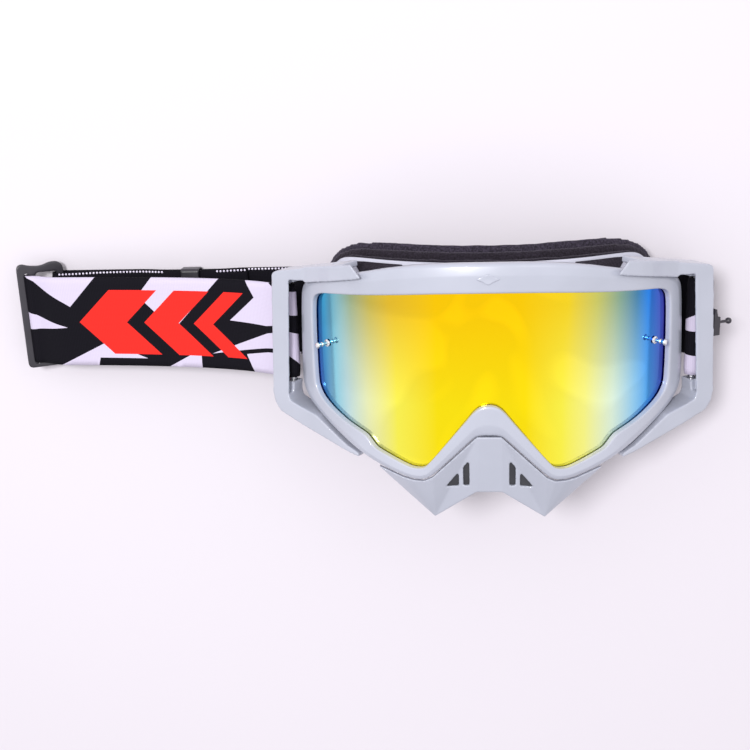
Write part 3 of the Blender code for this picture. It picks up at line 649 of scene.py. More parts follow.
def make_face_frame(finish):
    """The flexible inner frame: lens seat, vented wall and the flange that carries the foam."""
    sections = []
    outlines = [whole(o) for o in (LENS_OPENING, RIM_OUTER, FLANGE_OUTER, EYE_OPENING)]
    for inner, outer, flange, eye in zip(*outlines):
        front = FLANGE_THICKNESS
        sections.append(cut_corners([
            lens_point(mix(inner, outer, 0.45), -3.3),
            lens_point(mix(inner, outer, 0.39), -5.0),
            lens_point(mix(inner, outer, 0.18), -11.0),
            arc_point(mix(flange, eye, 0.22), FLANGE_BACK, front + 0.2),
            arc_point(flange, FLANGE_BACK, front - 0.2),
            arc_point(flange, FLANGE_BACK),
            arc_point(mix(flange, eye, 0.85), FLANGE_BACK),
            arc_point(mix(flange, eye, 0.85), FLANGE_BACK, front),
            arc_point(mix(flange, eye, 0.46), FLANGE_BACK, front + 0.2),
            lens_point(mix(inner, outer, -0.08), -11.0),
            lens_point(mix(inner, outer, 0.06), -5.0),
            lens_point(mix(inner, outer, 0.03), -3.3),
        ], 1))
    wall = ring("face_frame_moulding", sections, finish["soft"], 40.0)
    cut(wall, vent_cutters(finish))
    place_piece(wall, "soft_frame", "goggles", "face_frame")


def vent_cutters(finish):
    """Boxes that cut the openings of the wall, two in each row on each side."""
    cutters = []
    for side in (-1, 1):
        for low, high in VENT_ROWS.values():
            for spread in VENT_SPREADS:
                quads = []
                for x in spread:
                    base = arc_point((x, 0), FLANGE_BACK, FLANGE_THICKNESS + 0.8)[2]
                    top = base + VENT_HEIGHT
                    corners = ((low, base), (high, base), (high, top), (low, top))
                    quads.append([(side * x, y, z) for y, z in corners])
                cutters.append(loft("vent_cutter", quads, finish["soft"]))
    return cutters


def height_at(outline, x):
    """Highest and lowest Y of a closed outline at x."""
    found = []
    for (x0, y0), (x1, y1) in zip(outline, outline[1:] + outline[:1]):
        if (x0 - x) * (x1 - x) <= 0 and x0 != x1:
            found.append(y0 + (y1 - y0) * (x - x0) / (x1 - x0))
    return max(found), min(found)


def make_lens(finish):
    """The curved pane, in upright strips so that it keeps the cylinder's shape."""
    edge = [mix(a, b, LENS_REACH) for a, b in zip(whole(LENS_OPENING), whole(RIM_OUTER))]
    half = max(x for x, _ in edge) - 0.15
    count = 96
    rows = 14
    sections = []
    for i in range(count + 1):
        x = -half + 2 * half * i / count
        top, low = height_at(edge, x)
        levels = [top + (low - top) * k / rows for k in range(rows + 1)]
        front = [lens_point((x, y), 0) for y in levels]
        back = [lens_point((x, y), -LENS_THICKNESS) for y in reversed(levels)]
        sections.append(front + back)
    pane = loft("lens_pane", sections, finish["lens"], 45.0)
    place_piece(pane, "mirror_lens", "goggles", "lens")


def make_gasket(finish):
    """The foam seal that the lens presses on."""
    gasket = ring("lens_seal", rim_sections(GASKET_PROFILE, 1), finish["gasket"], 50.0)
    place_piece(gasket, "dark_foam", "goggles", "lens_gasket")


def pin_place(side):
    """A frame on the lens at a tear-off pin, with Z straight out of the lens."""
    spot = lens_point((side * PIN_X * (LENS_RADIUS + RIM_FACE) / LENS_RADIUS, PIN_Y), 0)
    return facing(spot, (spot[0], 0, spot[2] - LENS_TOP + LENS_RADIUS))


def make_pins(finish):
    """The pins that tear-off films hook on, and the push nuts that hold them."""
    for word, side in (("left", -1), ("right", 1)):
        place = pin_place(side)
        pin = turned(f"pin_{word}", PIN_PROFILE, place, finish["chrome"], 48)
        place_piece(pin, "chrome", "goggles", f"tear_off_pin_{word}")
        nut = turned(f"nut_{word}", NUT_PROFILE, place, finish["black"], 24, hollow=True)
        place_piece(nut, "black_plastic", "goggles", f"pin_nut_{word}")


# ---------------------------------------------------------------- foam

def puff(obj, cap):
    """Let cloth pressure crown a foam ring, moving no point further than the cap."""
    start = [v.co.copy() for v in obj.data.vertices]
    step = obj.modifiers.new("puff", "CLOTH")
    step.settings.quality = 4
    step.settings.use_pressure = True
    step.settings.uniform_pressure_force = 4.0
    step.settings.effector_weights.gravity = 0.0
    for number in range(1, 21):
        bpy.context.scene.frame_set(number)
    graph = bpy.context.evaluated_depsgraph_get()
    moved = [v.co.copy() for v in obj.evaluated_get(graph).data.vertices]
    obj.modifiers.remove(step)
    bpy.context.scene.frame_set(1)
    for vertex, old, new in zip(obj.data.vertices, start, moved):
        shift = new - old
        if shift.length > cap:
            shift.length = cap
        vertex.co = old + shift


def make_foam(finish):
    """Three crowned foam layers from the flange to the face, flaring as they go back."""
    flanges, faces, eyes = whole(FLANGE_OUTER), whole(FACE_OUTER), whole(EYE_OPENING)
    for name, (near, far) in FOAM_LAYERS.items():
        sections = []
        for flange, outer, eye in zip(flanges, faces, eyes):
            front_out, front_in = arc_point(flange, FLANGE_BACK, -0.35), arc_point(eye, FLANGE_BACK, -0.35)
            back_out, back_in = arc_point(outer, FACE_SIDE), arc_point(eye, FACE_SIDE)
            corners = [mix(front_out, back_out, near), mix(front_out, back_out, far),
                       mix(front_in, back_in, far), mix(front_in, back_in, near)]
            middle = Vector([sum(c[k] for c in corners) / 4 for k in range(3)])
            corners = [tuple(Vector(c) + (middle - Vector(c)).normalized() * 0.15) for c in corners]
            sections.append(cut_corners(corners, 2))
        layer = ring(f"face_foam_{name}", sections, finish[f"foam_{name}"], 80.0)
        mould(layer, 1.1, 6)
        puff(layer, 0.5 * MM)
        for vertex in layer.data.vertices:
            lump = noise.noise(vertex.co * 160) * 0.25 * MM
            vertex.co += vertex.normal * lump
        layer.data.shade_smooth()
        place_piece(layer, "dark_foam", "goggles", f"foam_{name}")


def at_station(station):
    """Where the outlines of the lens opening, rim, flange and eye opening are at a station."""
    outlines = (LENS_OPENING, RIM_OUTER, FLANGE_OUTER, EYE_OPENING)
    return [between(outline, station) for outline in outlines]


def make_vent_filters(finish):
    """Thin foam behind the openings in the wall, and over the upper ones."""
    stretches = {"top": (1.75, 2, 2.5, 3, 3.2), "bottom": (15.3, 16, 16.5, 17, 17.6)}
    height = FLANGE_THICKNESS + 0.9
    for word, side in (("left", -1), ("right", 1)):
        for row, places in stretches.items():
            sections = []
            for station in places:
                inner, outer, flange, eye = at_station(station)
                quad = [
                    lens_point(mix(inner, outer, -0.26), -10.0),
                    arc_point(mix(flange, eye, 0.60), FLANGE_BACK, height),
                    arc_point(mix(flange, eye, 0.72), FLANGE_BACK, height),
                    lens_point(mix(inner, outer, -0.42), -10.0),
                ]
                sections.append([(side * x, y, z) for x, y, z in cut_corners(quad, 2)])
            pad = loft(f"vent_foam_{row}_{word}", sections, finish["foam_base"], 50.0)
            place_piece(pad, "dark_foam", "goggles", f"vent_filter_{row}_{word}")
        make_vent_cover(finish, word, side)


def make_vent_cover(finish, word, side):
    """Thin dark foam over the upper openings, between the flange and the rim."""
    height = FLANGE_THICKNESS + 0.3
    sections = []
    for station in (1.9, 2.2, 2.6, 3.0, 3.3, 3.6):
        inner, outer, flange, eye = at_station(station)
        corners = [
            lens_point(mix(inner, outer, 0.44), -4.6), lens_point(mix(inner, outer, 0.27), -11.0),
            arc_point(mix(flange, eye, 0.12), FLANGE_BACK, height),
            arc_point(mix(flange, eye, 0.24), FLANGE_BACK, height),
            lens_point(mix(inner, outer, 0.16), -11.0), lens_point(mix(inner, outer, 0.37), -4.6),
        ]
        sections.append([(side * x, y, z) for x, y, z in corners])
    cover = loft(f"vent_cover_{word}", sections, finish["foam_middle"], 50.0)
    place_piece(cover, "dark_foam", "goggles")


# ---------------------------------------------------------------- outriggers and nose guard

def lip_point(x, y, ahead, side):
    """A point over the lens at a true X, on either side."""
    radius = LENS_RADIUS + ahead
    return (side * x, y, LENS_TOP - LENS_RADIUS + math.sqrt(radius * radius - x * x))


def arm_lip(finish, side):
    """The lip on the upper arm that reaches over the rim."""
    lip = []
    for x, low, high, under, over in ARM_LIP:
        corners = ((low, under), (high, under), (high, over), (low, over))
        lip.append([lip_point(x, y, ahead, side) for y, ahead in corners])
    return loft("lip", lip, finish["frame"])


def arm_cutters(finish, side, place, rod_place):
    """What is cut out of an arm: the strap's pocket, the rod's bore, an undercut and the pin holes."""
    half = POCKET_HALF_WIDTH
    pocket = slab("pocket_cutter", [(20, -half), (50, -half), (50, half), (20, half)],
                  -14.0, -BAR_THICKNESS, place, finish["frame"])
    undercut = []
    for u, y in ((34.1, -25.8), (30.6, 22.8)):
        corners = ((u + 0.1, -0.9), (u + 2.9, -3.7), (u - 2.0, -3.7), (u - 2.0, -0.9))
        undercut.append([place(across, y, w) for across, w in corners])
    bore = [(ROD_RADIUS + ROD_PLAY, -24.6), (ROD_RADIUS + ROD_PLAY, 24.3)]
    hole = turned("rod_hole_cutter", bore, rod_place, finish["frame"])
    cutters = [pocket, hole, loft("undercut", undercut, finish["frame"])]
    for _, y, turn in PIVOTS:
        seat = facing((side * HINGE_X, y, HINGE_Z), (0, turn, 0))
        bore = [(PIVOT_HOLE_RADIUS, -1), (PIVOT_HOLE_RADIUS, 12)]
        cutters.append(turned("pivot_cutter", bore, seat, finish["frame"]))
    return cutters


def make_outrigger(finish, word, side):
    """The arm beside the temple: two thick ends joined by a thin bar, and the strap's rod in it."""
    def place(u, y, w):
        return plate_point(u, y, w, side)

    rod_place = facing(place(ROD_U, 0, ROD_W), (0, 1, 0))
    arm = slab(f"arm_{word}", OUTRIGGER, -PLATE_THICKNESS, 0.0, place, finish["frame"])
    cut(arm, [arm_lip(finish, side)], "UNION")
    cut(arm, arm_cutters(finish, side, place, rod_place))
    mould(arm, 0.4, 4)
    place_piece(arm, "frame_plastic", f"outrigger_{word}", f"outrigger_{word}")
    low, high = ROD_SPAN
    profile = [(ROD_RADIUS - 0.3, low), (ROD_RADIUS, low + 0.3), (ROD_RADIUS, high - 0.3),
               (ROD_RADIUS - 0.3, high)]
    rod = turned(f"rod_{word}", profile, rod_place, finish["steel"])
    place_piece(rod, "steel", f"outrigger_{word}", f"strap_rod_{word}")


def make_nose_guard(finish):
    """The folded plate below the nose arch, with a clip that enters the frame."""
    edge = [(x, y, lens_point((x, y), RIM_FACE)[2]) for x, y in GUARD_EDGE]
    right = edge + [GUARD_TIP, GUARD_CHIN]
    points = right + [(-x, y, z) for x, y, z in right]
    count = len(points)
    points += [(x, y, z - GUARD_THICKNESS) for x, y, z in points]
    half = len(right)
    tip, chin = len(edge), len(edge) + 1
    side = [(0, 1, tip), (0, tip, chin)] + [(i, i + 1, tip) for i in range(1, len(edge) - 1)]
    top = side + [tuple(i + half for i in face) for face in side] + [(0, chin, chin + half, half)]
    rim = [0, 1, 2, 3, 4, 5, tip, chin, chin + half, tip + half] + [i + half for i in (5, 4, 3, 2, 1, 0)]
    faces = top + [tuple(i + count for i in face) for face in top]
    for i, j in zip(rim, rim[1:] + rim[:1]):
        faces.append((i, j, j + count, i + count))
    guard = add_mesh("guard_plate", points, faces, finish["frame"])
    wide = GUARD_CLIP_HALF_WIDTH
    clip = loft("guard_clip", [[(x, y, z) for y, z in GUARD_CLIP] for x in (-wide, wide)], finish["frame"])
    cut(guard, [clip], "UNION")
    cutters = []
    for turn in (-1, 1):
        for vent in GUARD_VENTS:
            outline = round_corners([(turn * x, y) for x, y in vent], 0.5, 2)
            cutters.append(loft("guard_vent", [[(x, y, z) for x, y in outline] for z in (60, 80)],
                                finish["frame"]))
    cut(guard, cutters)
    mould(guard, 0.35, 2)
    place_piece(guard, "frame_plastic", "nose_guard", "nose_guard")


def guard_height(x, y):
    """Height of the guard's front face at a point of its right half."""
    first = (*GUARD_EDGE[0], lens_point(GUARD_EDGE[0], RIM_FACE)[2])
    second = (*GUARD_EDGE[1], lens_point(GUARD_EDGE[1], RIM_FACE)[2])
    tip, start = Vector(GUARD_TIP), Vector(first)
    above = y > start.y + (x - start.x) * (tip.y - start.y) / (tip.x - start.x)
    other = Vector(second) if above else Vector(GUARD_CHIN)
    normal = (tip - start).cross(other - start)
    return start.z - (normal.x * (x - start.x) + normal.y * (y - start.y)) / normal.z


def make_guard_shade_panels(finish):
    """Thin dark panels set under the guard's openings: painted shade, standing in for the shadowed space
    below the guard.
    """
    for word, turn in (("left", -1), ("right", 1)):
        for number, vent in enumerate(GUARD_VENTS):
            centre = [sum(p[k] for p in vent) / len(vent) for k in (0, 1)]
            wide = [mix(centre, p, 1.12) for p in vent]
            outline = round_corners(wide, 0.4, 2)
            levels = [[(turn * x, y, guard_height(x, y) - deep) for x, y in outline] for deep in (1.5, 1.1)]
            # painted shade: a dark sheet where the space under the guard lies in shadow
            panel = loft(f"guard_shade_panel_{number}_{word}", levels, finish["window"])
            place_piece(panel, "black_plastic", "nose_guard")


def make_tab_post(finish):
    """The clip with a ball-ended post on the right outrigger that tear-off tabs hook on."""
    u = TAB_CLIP_U
    outline = [(u + 0.1, -3.4), (u + 3.1, -3.4), (u + 3.1, 4.1), (u + 1.9, 4.4), (u + 1.3, 7.4),
               (u + 0.6, 7.4), (u + 0.1, 4.4)]
    clip = slab("post_clip", outline, *TAB_CLIP_DEPTH, plate_point, finish["black"])
    mould(clip, 0.2, 3)
    place_piece(clip, "black_plastic", "outrigger_right", "tab_clip")
    place = facing(plate_point(u + 3.45, 1.6, -1.8), (math.cos(PLATE_TILT), 0, -math.sin(PLATE_TILT)))
    profile = list(TAB_STEM)
    for angle in range(5, 31, 2):
        height = TAB_BALL_CENTRE - TAB_BALL_RADIUS * math.cos(angle / 10)
        profile.append((TAB_BALL_RADIUS * math.sin(angle / 10), height))
    post = turned("post", profile, place, finish["black"])
    place_piece(post, "black_plastic", "outrigger_right", "tab_post")


def dress_pivots(finish):
    """The four hinge pins keep their CAD shape; they get a turned steel finish."""
    for word in ("left", "right"):
        for end, _, _ in PIVOTS:
            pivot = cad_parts[f"pivot_pin_{end}_{word}"]
            pivot.data.materials.clear()
            pivot.data.materials.append(finish["steel"])


# ---------------------------------------------------------------- strap

# How far the strap's faces draw in at its edges, and over what width.
EDGE_DROOP = 0.35
EDGE_ROUND = 0.6
# The last point of the back run's path that shows in the right arm's window.
RIGHT_WINDOW_END = 20

def lengths_along(path):
    """Distance from a path's start to each of its points."""
    found = [0.0]
    for a, b in zip(path, path[1:]):
        found.append(found[-1] + math.dist(a, b))
    return found


def inside(polygon, spot):
    """Whether a point is in a polygon."""
    hits = 0
    for (x0, y0), (x1, y1) in zip(polygon, polygon[1:] + polygon[:1]):
        if (y0 > spot[1]) != (y1 > spot[1]):
            hits += spot[0] < x0 + (x1 - x0) * (spot[1] - y0) / (y1 - y0)
    return hits % 2 == 1


def cut_along(cells, start, end, low, high):
    """Cut a flat grid along a line, but only in faces that reach into the box from low to high."""
    near = []
    for face in cells.faces:
        xs, ys = [v.co.x for v in face.verts], [v.co.y for v in face.verts]
        if max(xs) > low[0] and min(xs) < high[0] and max(ys) > low[1] and min(ys) < high[1]:
            near.append(face)
    edges = {e for f in near for e in f.edges}
    verts = {v for f in near for v in f.verts}
    normal = (end[1] - start[1], start[0] - end[0], 0)
    bmesh.ops.bisect_plane(cells, geom=list(verts) + list(edges) + near, dist=1e-4,
                           plane_co=(*start, 0), plane_no=normal)


def printed_grid(length, shapes):
    """A flat grid cut along the outlines of printed shapes; each face knows its print's number."""
    cells = bmesh.new()
    half = STRAP_WIDTH / 2
    across = [-half + STRAP_WIDTH * k / 16 for k in range(17)]
    count = int(length / 1.2)
    rows = [[cells.verts.new((length * i / count, y, 0)) for y in across] for i in range(count + 1)]
    for a, b in zip(rows, rows[1:]):
        for k in range(16):
            cells.faces.new((a[k], b[k], b[k + 1], a[k + 1]))
    for _, polygon in shapes:
        xs, ys = [p[0] for p in polygon], [p[1] for p in polygon]
        low, high = (min(xs) - 0.01, min(ys) - 0.01), (max(xs) + 0.01, max(ys) + 0.01)
        for start, end in zip(polygon, polygon[1:] + polygon[:1]):
            cut_along(cells, start, end, low, high)
    for face in cells.faces:
        centre = face.calc_center_median()
        for number, polygon in shapes:
            if inside(polygon, centre):
                face.material_index = number
    cells.verts.ensure_lookup_table()
    cells.faces.ensure_lookup_table()
    return cells


def strap_placer(path, flip):
    """A function that puts a point of the flat strap in space, in metres.

    It takes the distance along the path, Y, and a height off the path's left side, or off its
    right side where flip is -1.
    """
    marks = lengths_along(path)
    length = marks[-1]

    def spot(along, y, height):
        at = min(max(along, 0.0), length - 1e-6)
        i = min(max(bisect.bisect_right(marks, at) - 1, 0), len(marks) - 2)
        t = (at - marks[i]) / (marks[i + 1] - marks[i])
        before = Vector(path[max(i - 1, 0)])
        here, ahead = Vector(path[i]), Vector(path[i + 1])
        after = Vector(path[min(i + 2, len(path) - 1)])
        tangent = (here - before).normalized() * (1 - t) if i else Vector((0, 0))
        tangent = tangent + (ahead - here).normalized()
        if i + 2 < len(path):
            tangent = tangent + (after - ahead).normalized() * t
        tangent.normalize()
        place = here.lerp(ahead, t) + Vector((-tangent.y, tangent.x)) * height * flip
        return (place.x * MM, y * MM, place.y * MM)

    return spot


def strap_mesh(name, cells, spot):
    """Two layers of the flat grid a strap's thickness apart, closed at the edges, with a UV map."""
    points = []
    for face_side in (1, -1):
        for v in cells.verts:
            droop = EDGE_DROOP * max(0.0, (abs(v.co.y) - STRAP_WIDTH / 2 + EDGE_ROUND) / EDGE_ROUND)
            points.append(spot(v.co.x, v.co.y, face_side * (STRAP_THICKNESS / 2 - droop)))
    count = len(points) // 2
    faces = [[v.index for v in f.verts] for f in cells.faces]
    numbers = [f.material_index for f in cells.faces]
    back = [[i + count for i in reversed(f)] for f in faces]
    sides = []
    side_numbers = []
    for e in cells.edges:
        if e.is_boundary:
            loop = e.link_loops[0]
            a, b = loop.vert.index, loop.link_loop_next.vert.index
            sides.append([b, a, a + count, b + count])
            side_numbers.append(e.link_faces[0].material_index)
    mesh = bpy.data.meshes.new(name)
    mesh.from_pydata(points, [], faces + back + sides)
    for polygon, number in zip(mesh.polygons, numbers + [0] * len(back) + side_numbers):
        polygon.material_index = number
    flat = [(v.co.x, v.co.y) for v in cells.verts] * 2
    uv = mesh.uv_layers.new(name="UVMap")
    for loop in mesh.loops:
        uv.data[loop.index].uv = flat[loop.vertex_index]
    return mesh


def strap(name, path, finishes, shapes, flip):
    """A woven strap of even thickness along a path in the XZ plane, printed on one side.

    shapes are (material number, polygon of distance along the path and Y); the print is on the
    side to the left of the path's direction, or to its right where flip is -1.
    """
    length = lengths_along(path)[-1]
    cells = printed_grid(length, shapes)
    mesh = strap_mesh(name, cells, strap_placer(path, flip))
    cells.free()
    for finish in finishes:
        mesh.materials.append(finish)
    made = bpy.data.objects.new(name, mesh)
    bpy.context.scene.collection.objects.link(made)
    mesh.shade_smooth()
    face_out(mesh)
    return made, length


def loop_path(side):
    """The sewn end round the rod: from its inner layer, round the rod, to where it leaves."""
    level = -(BAR_THICKNESS + STRAP_PLAY + STRAP_THICKNESS / 2)
    rod = plate_point(ROD_U, 0, ROD_W)
    tilt = -math.degrees(PLATE_TILT)
    hole = ROD_RADIUS + ROD_PLAY
    turn = wrap((rod[0], rod[2]), hole + STRAP_THICKNESS / 2, 270 + tilt, 90 + tilt, 18)
    if side < 0:
        inner_end = 43.0
        start = plate_point(45.0, 0, level)
        lead = [(start[0], start[2])]
    else:
        inner_end = 41.0
        lead = cut_corners(LOOP_FALL[::-1], 2, closed=False)
    back = plate_point(inner_end, 0, level - 2 * hole - STRAP_THICKNESS + 1.2)
    return [(side * x, z) for x, z in [(back[0], back[2])] + turn + lead]


def fold_bars():
    """Centres of the fold slider's right and middle bars, in the XZ plane."""
    right = (SLIDER_RIGHT_X, WRAP_RADIUS + BAND_Z)
    step = (-SLIDER_CENTRE * math.cos(SLIDER_TILT), SLIDER_CENTRE * math.sin(SLIDER_TILT))
    return right, (right[0] + step[0], right[1] + step[1])


def front_path():
    """From the left rod over the long run to the fold slider's middle bar."""
    tilt = math.degrees(SLIDER_TILT)
    loop = loop_path(-1)
    out = (math.cos(PLATE_TILT), -math.sin(PLATE_TILT))
    begin = (loop[-1][0] - out[0], loop[-1][1] + out[1])
    over = wrap(fold_bars()[1], WRAP_RADIUS, 90 - tilt, 250 - tilt, 16)
    along = (math.cos(SLIDER_TILT), -math.sin(SLIDER_TILT))
    reach = (over[0][0] + along[0] * 14, over[0][1] + along[1] * -2 + 3.2)
    run = curve(begin, (begin[0] - 21, begin[1] - 21 * 0.55), (-150, 17.5), reach, 60)
    dip = curve(reach, (reach[0] - 6, reach[1] - 0.6), (over[0][0] + 3, over[0][1] + 0.2), over[0], 8)
    return loop, loop + run[:-1] + dip + over[1:]


def back_path():
    """From the right rod down to the table, along it, round the fold slider and into the keeper."""
    loop = loop_path(1)
    right = fold_bars()[0]
    begin = (loop[-1][0] + 1.0, loop[-1][1] - 1.4)
    fall = curve(begin, (begin[0] - 0.5, begin[1] - 10), (90, BAND_Z), (72, BAND_Z), 30)
    crest = [(KEEPER_X + 26, BAND_Z), (KEEPER_X + 19, BAND_Z + 0.7), (KEEPER_X + 13, HUMP_Z),
             (KEEPER_X - 13, HUMP_Z), (KEEPER_X - 19, BAND_Z + 0.7), (KEEPER_X - 26, BAND_Z)]
    turn = wrap(right, WRAP_RADIUS, 270, 90, 18)
    tail = [(right[0] + 8, right[1] + WRAP_RADIUS - 0.6), (right[0] + 18, BAND_Z + TAIL_LIFT + 0.9)]
    tail += [(x, z + TAIL_LIFT) for x, z in reversed(crest)]
    tail = tail[:-1] + [(KEEPER_X + 25, BAND_Z + TAIL_LIFT + 0.1)]
    crest = cut_corners([fall[-1]] + crest + [(right[0] + 12, BAND_Z)], 3, closed=False)[1:-1]
    tail = cut_corners([turn[-1]] + tail, 3, closed=False)[1:]
    return loop + fall + crest + turn + tail


def without_repeats(points):
    """A path without the points that all but repeat the one before."""
    return [p for i, p in enumerate(points) if i == 0 or math.dist(p, points[i - 1]) > 0.05]


def along_front(path, marks, first, x):
    """Distance along the front run where its outer side stands at x."""
    if x > path[first][0]:
        return marks[first]
    for i in range(first, len(path) - 1):
        a, b = path[i][0], path[i + 1][0]
        if (a - x) * (b - x) <= 0 and a != b:
            return marks[i] + (marks[i + 1] - marks[i]) * (a - x) / (a - b)
    return marks[min(range(len(path)), key=lambda i: path[i][0])]


def make_front_strap(finish):
    """The printed run that shows, from the left arm to the fold slider."""
    loop, path = front_path()
    path = without_repeats(path)
    marks = lengths_along(path)
    first = len(loop) - 2
    shapes = []
    for number, group in ((1, PRINT_WHITE), (2, PRINT_RED)):
        for polygon in group:
            shapes.append((number, [(along_front(path, marks, first, x), y) for x, y in polygon]))
    start, end = marks[1], marks[first]
    shapes.append((1, [(start, 15.8), (end, 17.5), (end, 7.5), (start, 5.5)]))
    shapes.append((1, [(start, -3.0), (end, 0.5), (end, -9.5), (start, -18.5)]))
    finishes = [finish["strap_black"], finish["strap_white"], finish["strap_red"]]
    piece, length = strap("strap_front_run", path, finishes, shapes, flip=-1)
    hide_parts("strap_front", "strap_loop_left")
    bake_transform(piece)


def make_back_strap(finish):
    """The run from the right arm under the goggles to the fold slider, and its tail."""
    path = without_repeats(back_path())
    marks = lengths_along(path)
    shapes = []
    start, end = marks[1], marks[RIGHT_WINDOW_END]
    shapes.append((1, [(start, 1.0), (end, 9.0), (end, -1.6), (start, -1.6)]))
    shapes.append((1, [(start, -11), (end, -12.5), (end, -20.5), (start, -20.5)]))
    finishes = [finish["strap_black"], finish["strap_white"]]
    piece, length = strap("strap_back_run", path, finishes, shapes, flip=1)
    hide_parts("strap_back", "strap_loop_right")
    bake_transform(piece)
    beads = make_beads(finish, path)


def top_of_path(path, x):
    """Height of the strap's upper face over the table at x, leaving out what hangs above it."""
    crossings = []
    for (xa, za), (xb, zb) in zip(path, path[1:]):
        if (xa - x) * (xb - x) <= 0 and xa != xb:
            crossings.append(za + (zb - za) * (x - xa) / (xb - xa))
    return max(z for z in crossings if z < 8.5) + STRAP_THICKNESS / 2


def make_beads(finish, path):
    """Rows of silicone grip beads near the edges of the strap's upper face, where it lies flat."""
    points = []
    faces = []
    sides = BEAD_SIDES
    for row in BEAD_ROWS:
        x = SLIDER_RIGHT_X + 1.0
        while x < BEAD_RIGHT_END:
            lift = top_of_path(path, x) - 0.05
            start = len(points)
            for radius, height in BEAD_RINGS:
                for k in range(sides):
                    a = 2 * math.pi * k / sides
                    points.append((x + radius * math.cos(a), row + radius * math.sin(a), lift + height))
            for level in range(len(BEAD_RINGS) - 1):
                for k in range(sides):
                    m = (k + 1) % sides
                    a, b = start + level * sides, start + (level + 1) * sides
                    faces.append((a + k, a + m, b + m, b + k))
            faces.append(tuple(start + 2 * sides + k for k in range(sides)))
            faces.append(tuple(start + k for k in range(sides)))
            at_keeper = abs(x + BEAD_PITCH - KEEPER_X) <= BEAD_GAP / 2
            x += BEAD_GAP if at_keeper else BEAD_PITCH
    beads = add_mesh("grip_beads", points, faces, finish["bead"], 70.0)
    place_piece(beads, "strap_fabric", "goggles")
    return beads


def make_fold_slider(finish):
    """The three-bar slider that stands in the strap's left fold."""
    right = fold_bars()[0]
    place = Matrix.Translation((right[0], 0, right[1])) @ Matrix.Rotation(SLIDER_TILT, 4, "Y")

    def spot(a, b, w):
        return tuple(place @ Vector((a, b, w)))

    outline = [(-18.7, -22.6), (1.5, -22.6), (1.5, 23.0), (-0.5, 25.0), (-4.0, 25.2), (-8.5, 23.6),
               (-13.5, 24.2), (-16.4, 25.3), (-18.7, 24.2)]
    body = slab("fold_slider", round_corners(outline, 2.5, 5), -1.1, 1.1, spot, finish["black"])
    cutters = []
    for low, high in ((1.5 - SLIDER_CENTRE, -1.5), (2.2 - SLIDER_OUTER, -SLIDER_CENTRE - 1.5)):
        slot = round_corners([(low, -20.6), (high, -20.6), (high, 20.9), (low, 20.9)], 1.2, 4)
        cutters.append(slab("slot_cutter", slot, -4, 4, spot, finish["black"]))
    cut(body, cutters)
    mould(body, 0.35, 4)
    place_piece(body, "black_plastic", "goggles", "slider_fold")


def make_keeper(finish):
    """The narrow band slider that holds the strap's tail against its back run."""
    top = HUMP_Z + TAIL_LIFT + STRAP_THICKNESS / 2 + STRAP_PLAY
    outline = [(-20.2, 0.0), (20.2, 0.0), (21.0, 2.4), (21.0, top + 0.6), (20.1, top + 1.8),
               (-20.1, top + 1.8), (-21.0, top + 0.6), (-21.0, 2.4)]

    def spot(a, b, w):
        return (KEEPER_X + w, a, b)

    body = slab("keeper", outline, -KEEPER_HALF_LENGTH, KEEPER_HALF_LENGTH, spot, finish["black"])
    hole = [(-20.35, 2.0), (20.35, 2.0), (20.35, top), (-20.35, top)]
    cut(body, [slab("keeper_cutter", hole, -9.0, 9.0, spot, finish["black"])])
    mould(body, 0.3, 2)
    place_piece(body, "black_plastic", "strap_slider", "slider_back")


# ---------------------------------------------------------------- stage

def make_table():
    """A plain pale table, just under the strap."""
    size = TABLE_HALF_SIZE
    mesh = bpy.data.meshes.new("table")
    mesh.from_pydata([(-size, -size, 0), (size, -size, 0), (size, size, 0), (-size, size, 0)], [],
                     [(0, 1, 2, 3)])
    table = bpy.data.objects.new("table", mesh)
    table.location = (0, 0, -0.0003)
    mesh.materials.append(new_material("table_paint", (0.60, 0.565, 0.615), 0.8)[0])
    bpy.context.scene.collection.objects.link(table)


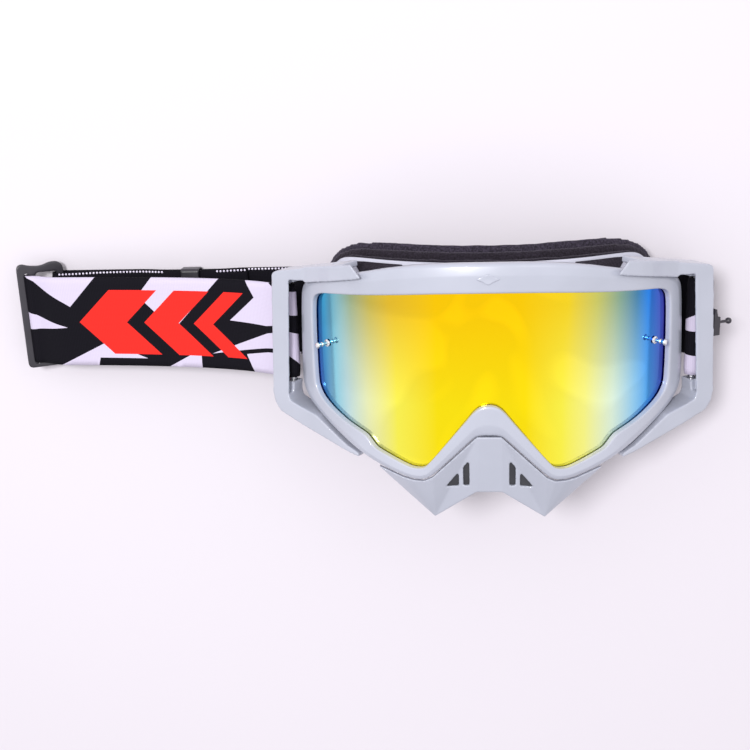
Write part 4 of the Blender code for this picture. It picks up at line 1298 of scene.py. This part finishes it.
def make_studio():
    """Soft white light all round, dimmer from the wearer's chin."""
    world = bpy.data.worlds.new("studio")
    world.use_nodes = True
    tree = world.node_tree
    sky = tree.nodes["Background"]
    parts = tree.nodes.new("ShaderNodeSeparateXYZ")
    where = tree.nodes.new("ShaderNodeTexCoord")
    tree.links.new(where.outputs["Generated"], parts.inputs[0])
    ramp(tree, map_range(tree, parts.outputs["Y"], -1.0, 0.0), STUDIO_STOPS, sky.inputs["Color"])
    sky.inputs["Strength"].default_value = STUDIO_STRENGTH
    bpy.context.scene.world = world


def make_lamps():
    """Two broad lamps above the brow, each turned to the origin, and plain colours in the picture."""
    for name, place, size, power in LAMPS:
        lamp = bpy.data.lights.new(name, "AREA")
        lamp.shape = "DISK"
        lamp.size = size
        lamp.energy = power
        made = bpy.data.objects.new(name, lamp)
        made.location = place
        made.rotation_euler = (-Vector(place)).to_track_quat("-Z", "Y").to_euler()
        bpy.context.scene.collection.objects.link(made)
    bpy.context.scene.view_settings.view_transform = "Standard"


def make_camera():
    """The camera above the brow, turned a little about its own view."""
    data = bpy.data.cameras.new("camera")
    data.lens = CAMERA_LENS
    data.sensor_width = 36.0
    data.dof.use_dof = False
    camera = bpy.data.objects.new("camera", data)
    ahead = (Vector(CAMERA_TARGET) - Vector(CAMERA_PLACE)).normalized()
    right = ahead.cross(Vector(CAMERA_UP)).normalized()
    up = right.cross(ahead)
    turn = Matrix.Rotation(CAMERA_ROLL, 3, ahead)
    right, up = turn @ right, turn @ up
    facing_down = Matrix((right, up, -ahead)).transposed().to_4x4()
    camera.matrix_world = Matrix.Translation(CAMERA_PLACE) @ facing_down
    bpy.context.scene.collection.objects.link(camera)
    bpy.context.scene.camera = camera


def main():
    finish = make_materials()
    make_rim(finish)
    make_emblem(finish)
    make_face_frame(finish)
    make_lens(finish)
    make_gasket(finish)
    make_pins(finish)
    make_foam(finish)
    make_vent_filters(finish)
    make_outrigger(finish, "left", -1)
    make_outrigger(finish, "right", 1)
    make_nose_guard(finish)
    make_guard_shade_panels(finish)
    make_tab_post(finish)
    dress_pivots(finish)
    make_fold_slider(finish)
    make_keeper(finish)
    make_front_strap(finish)
    make_back_strap(finish)
    make_table()
    make_studio()
    make_lamps()
    make_camera()


main()
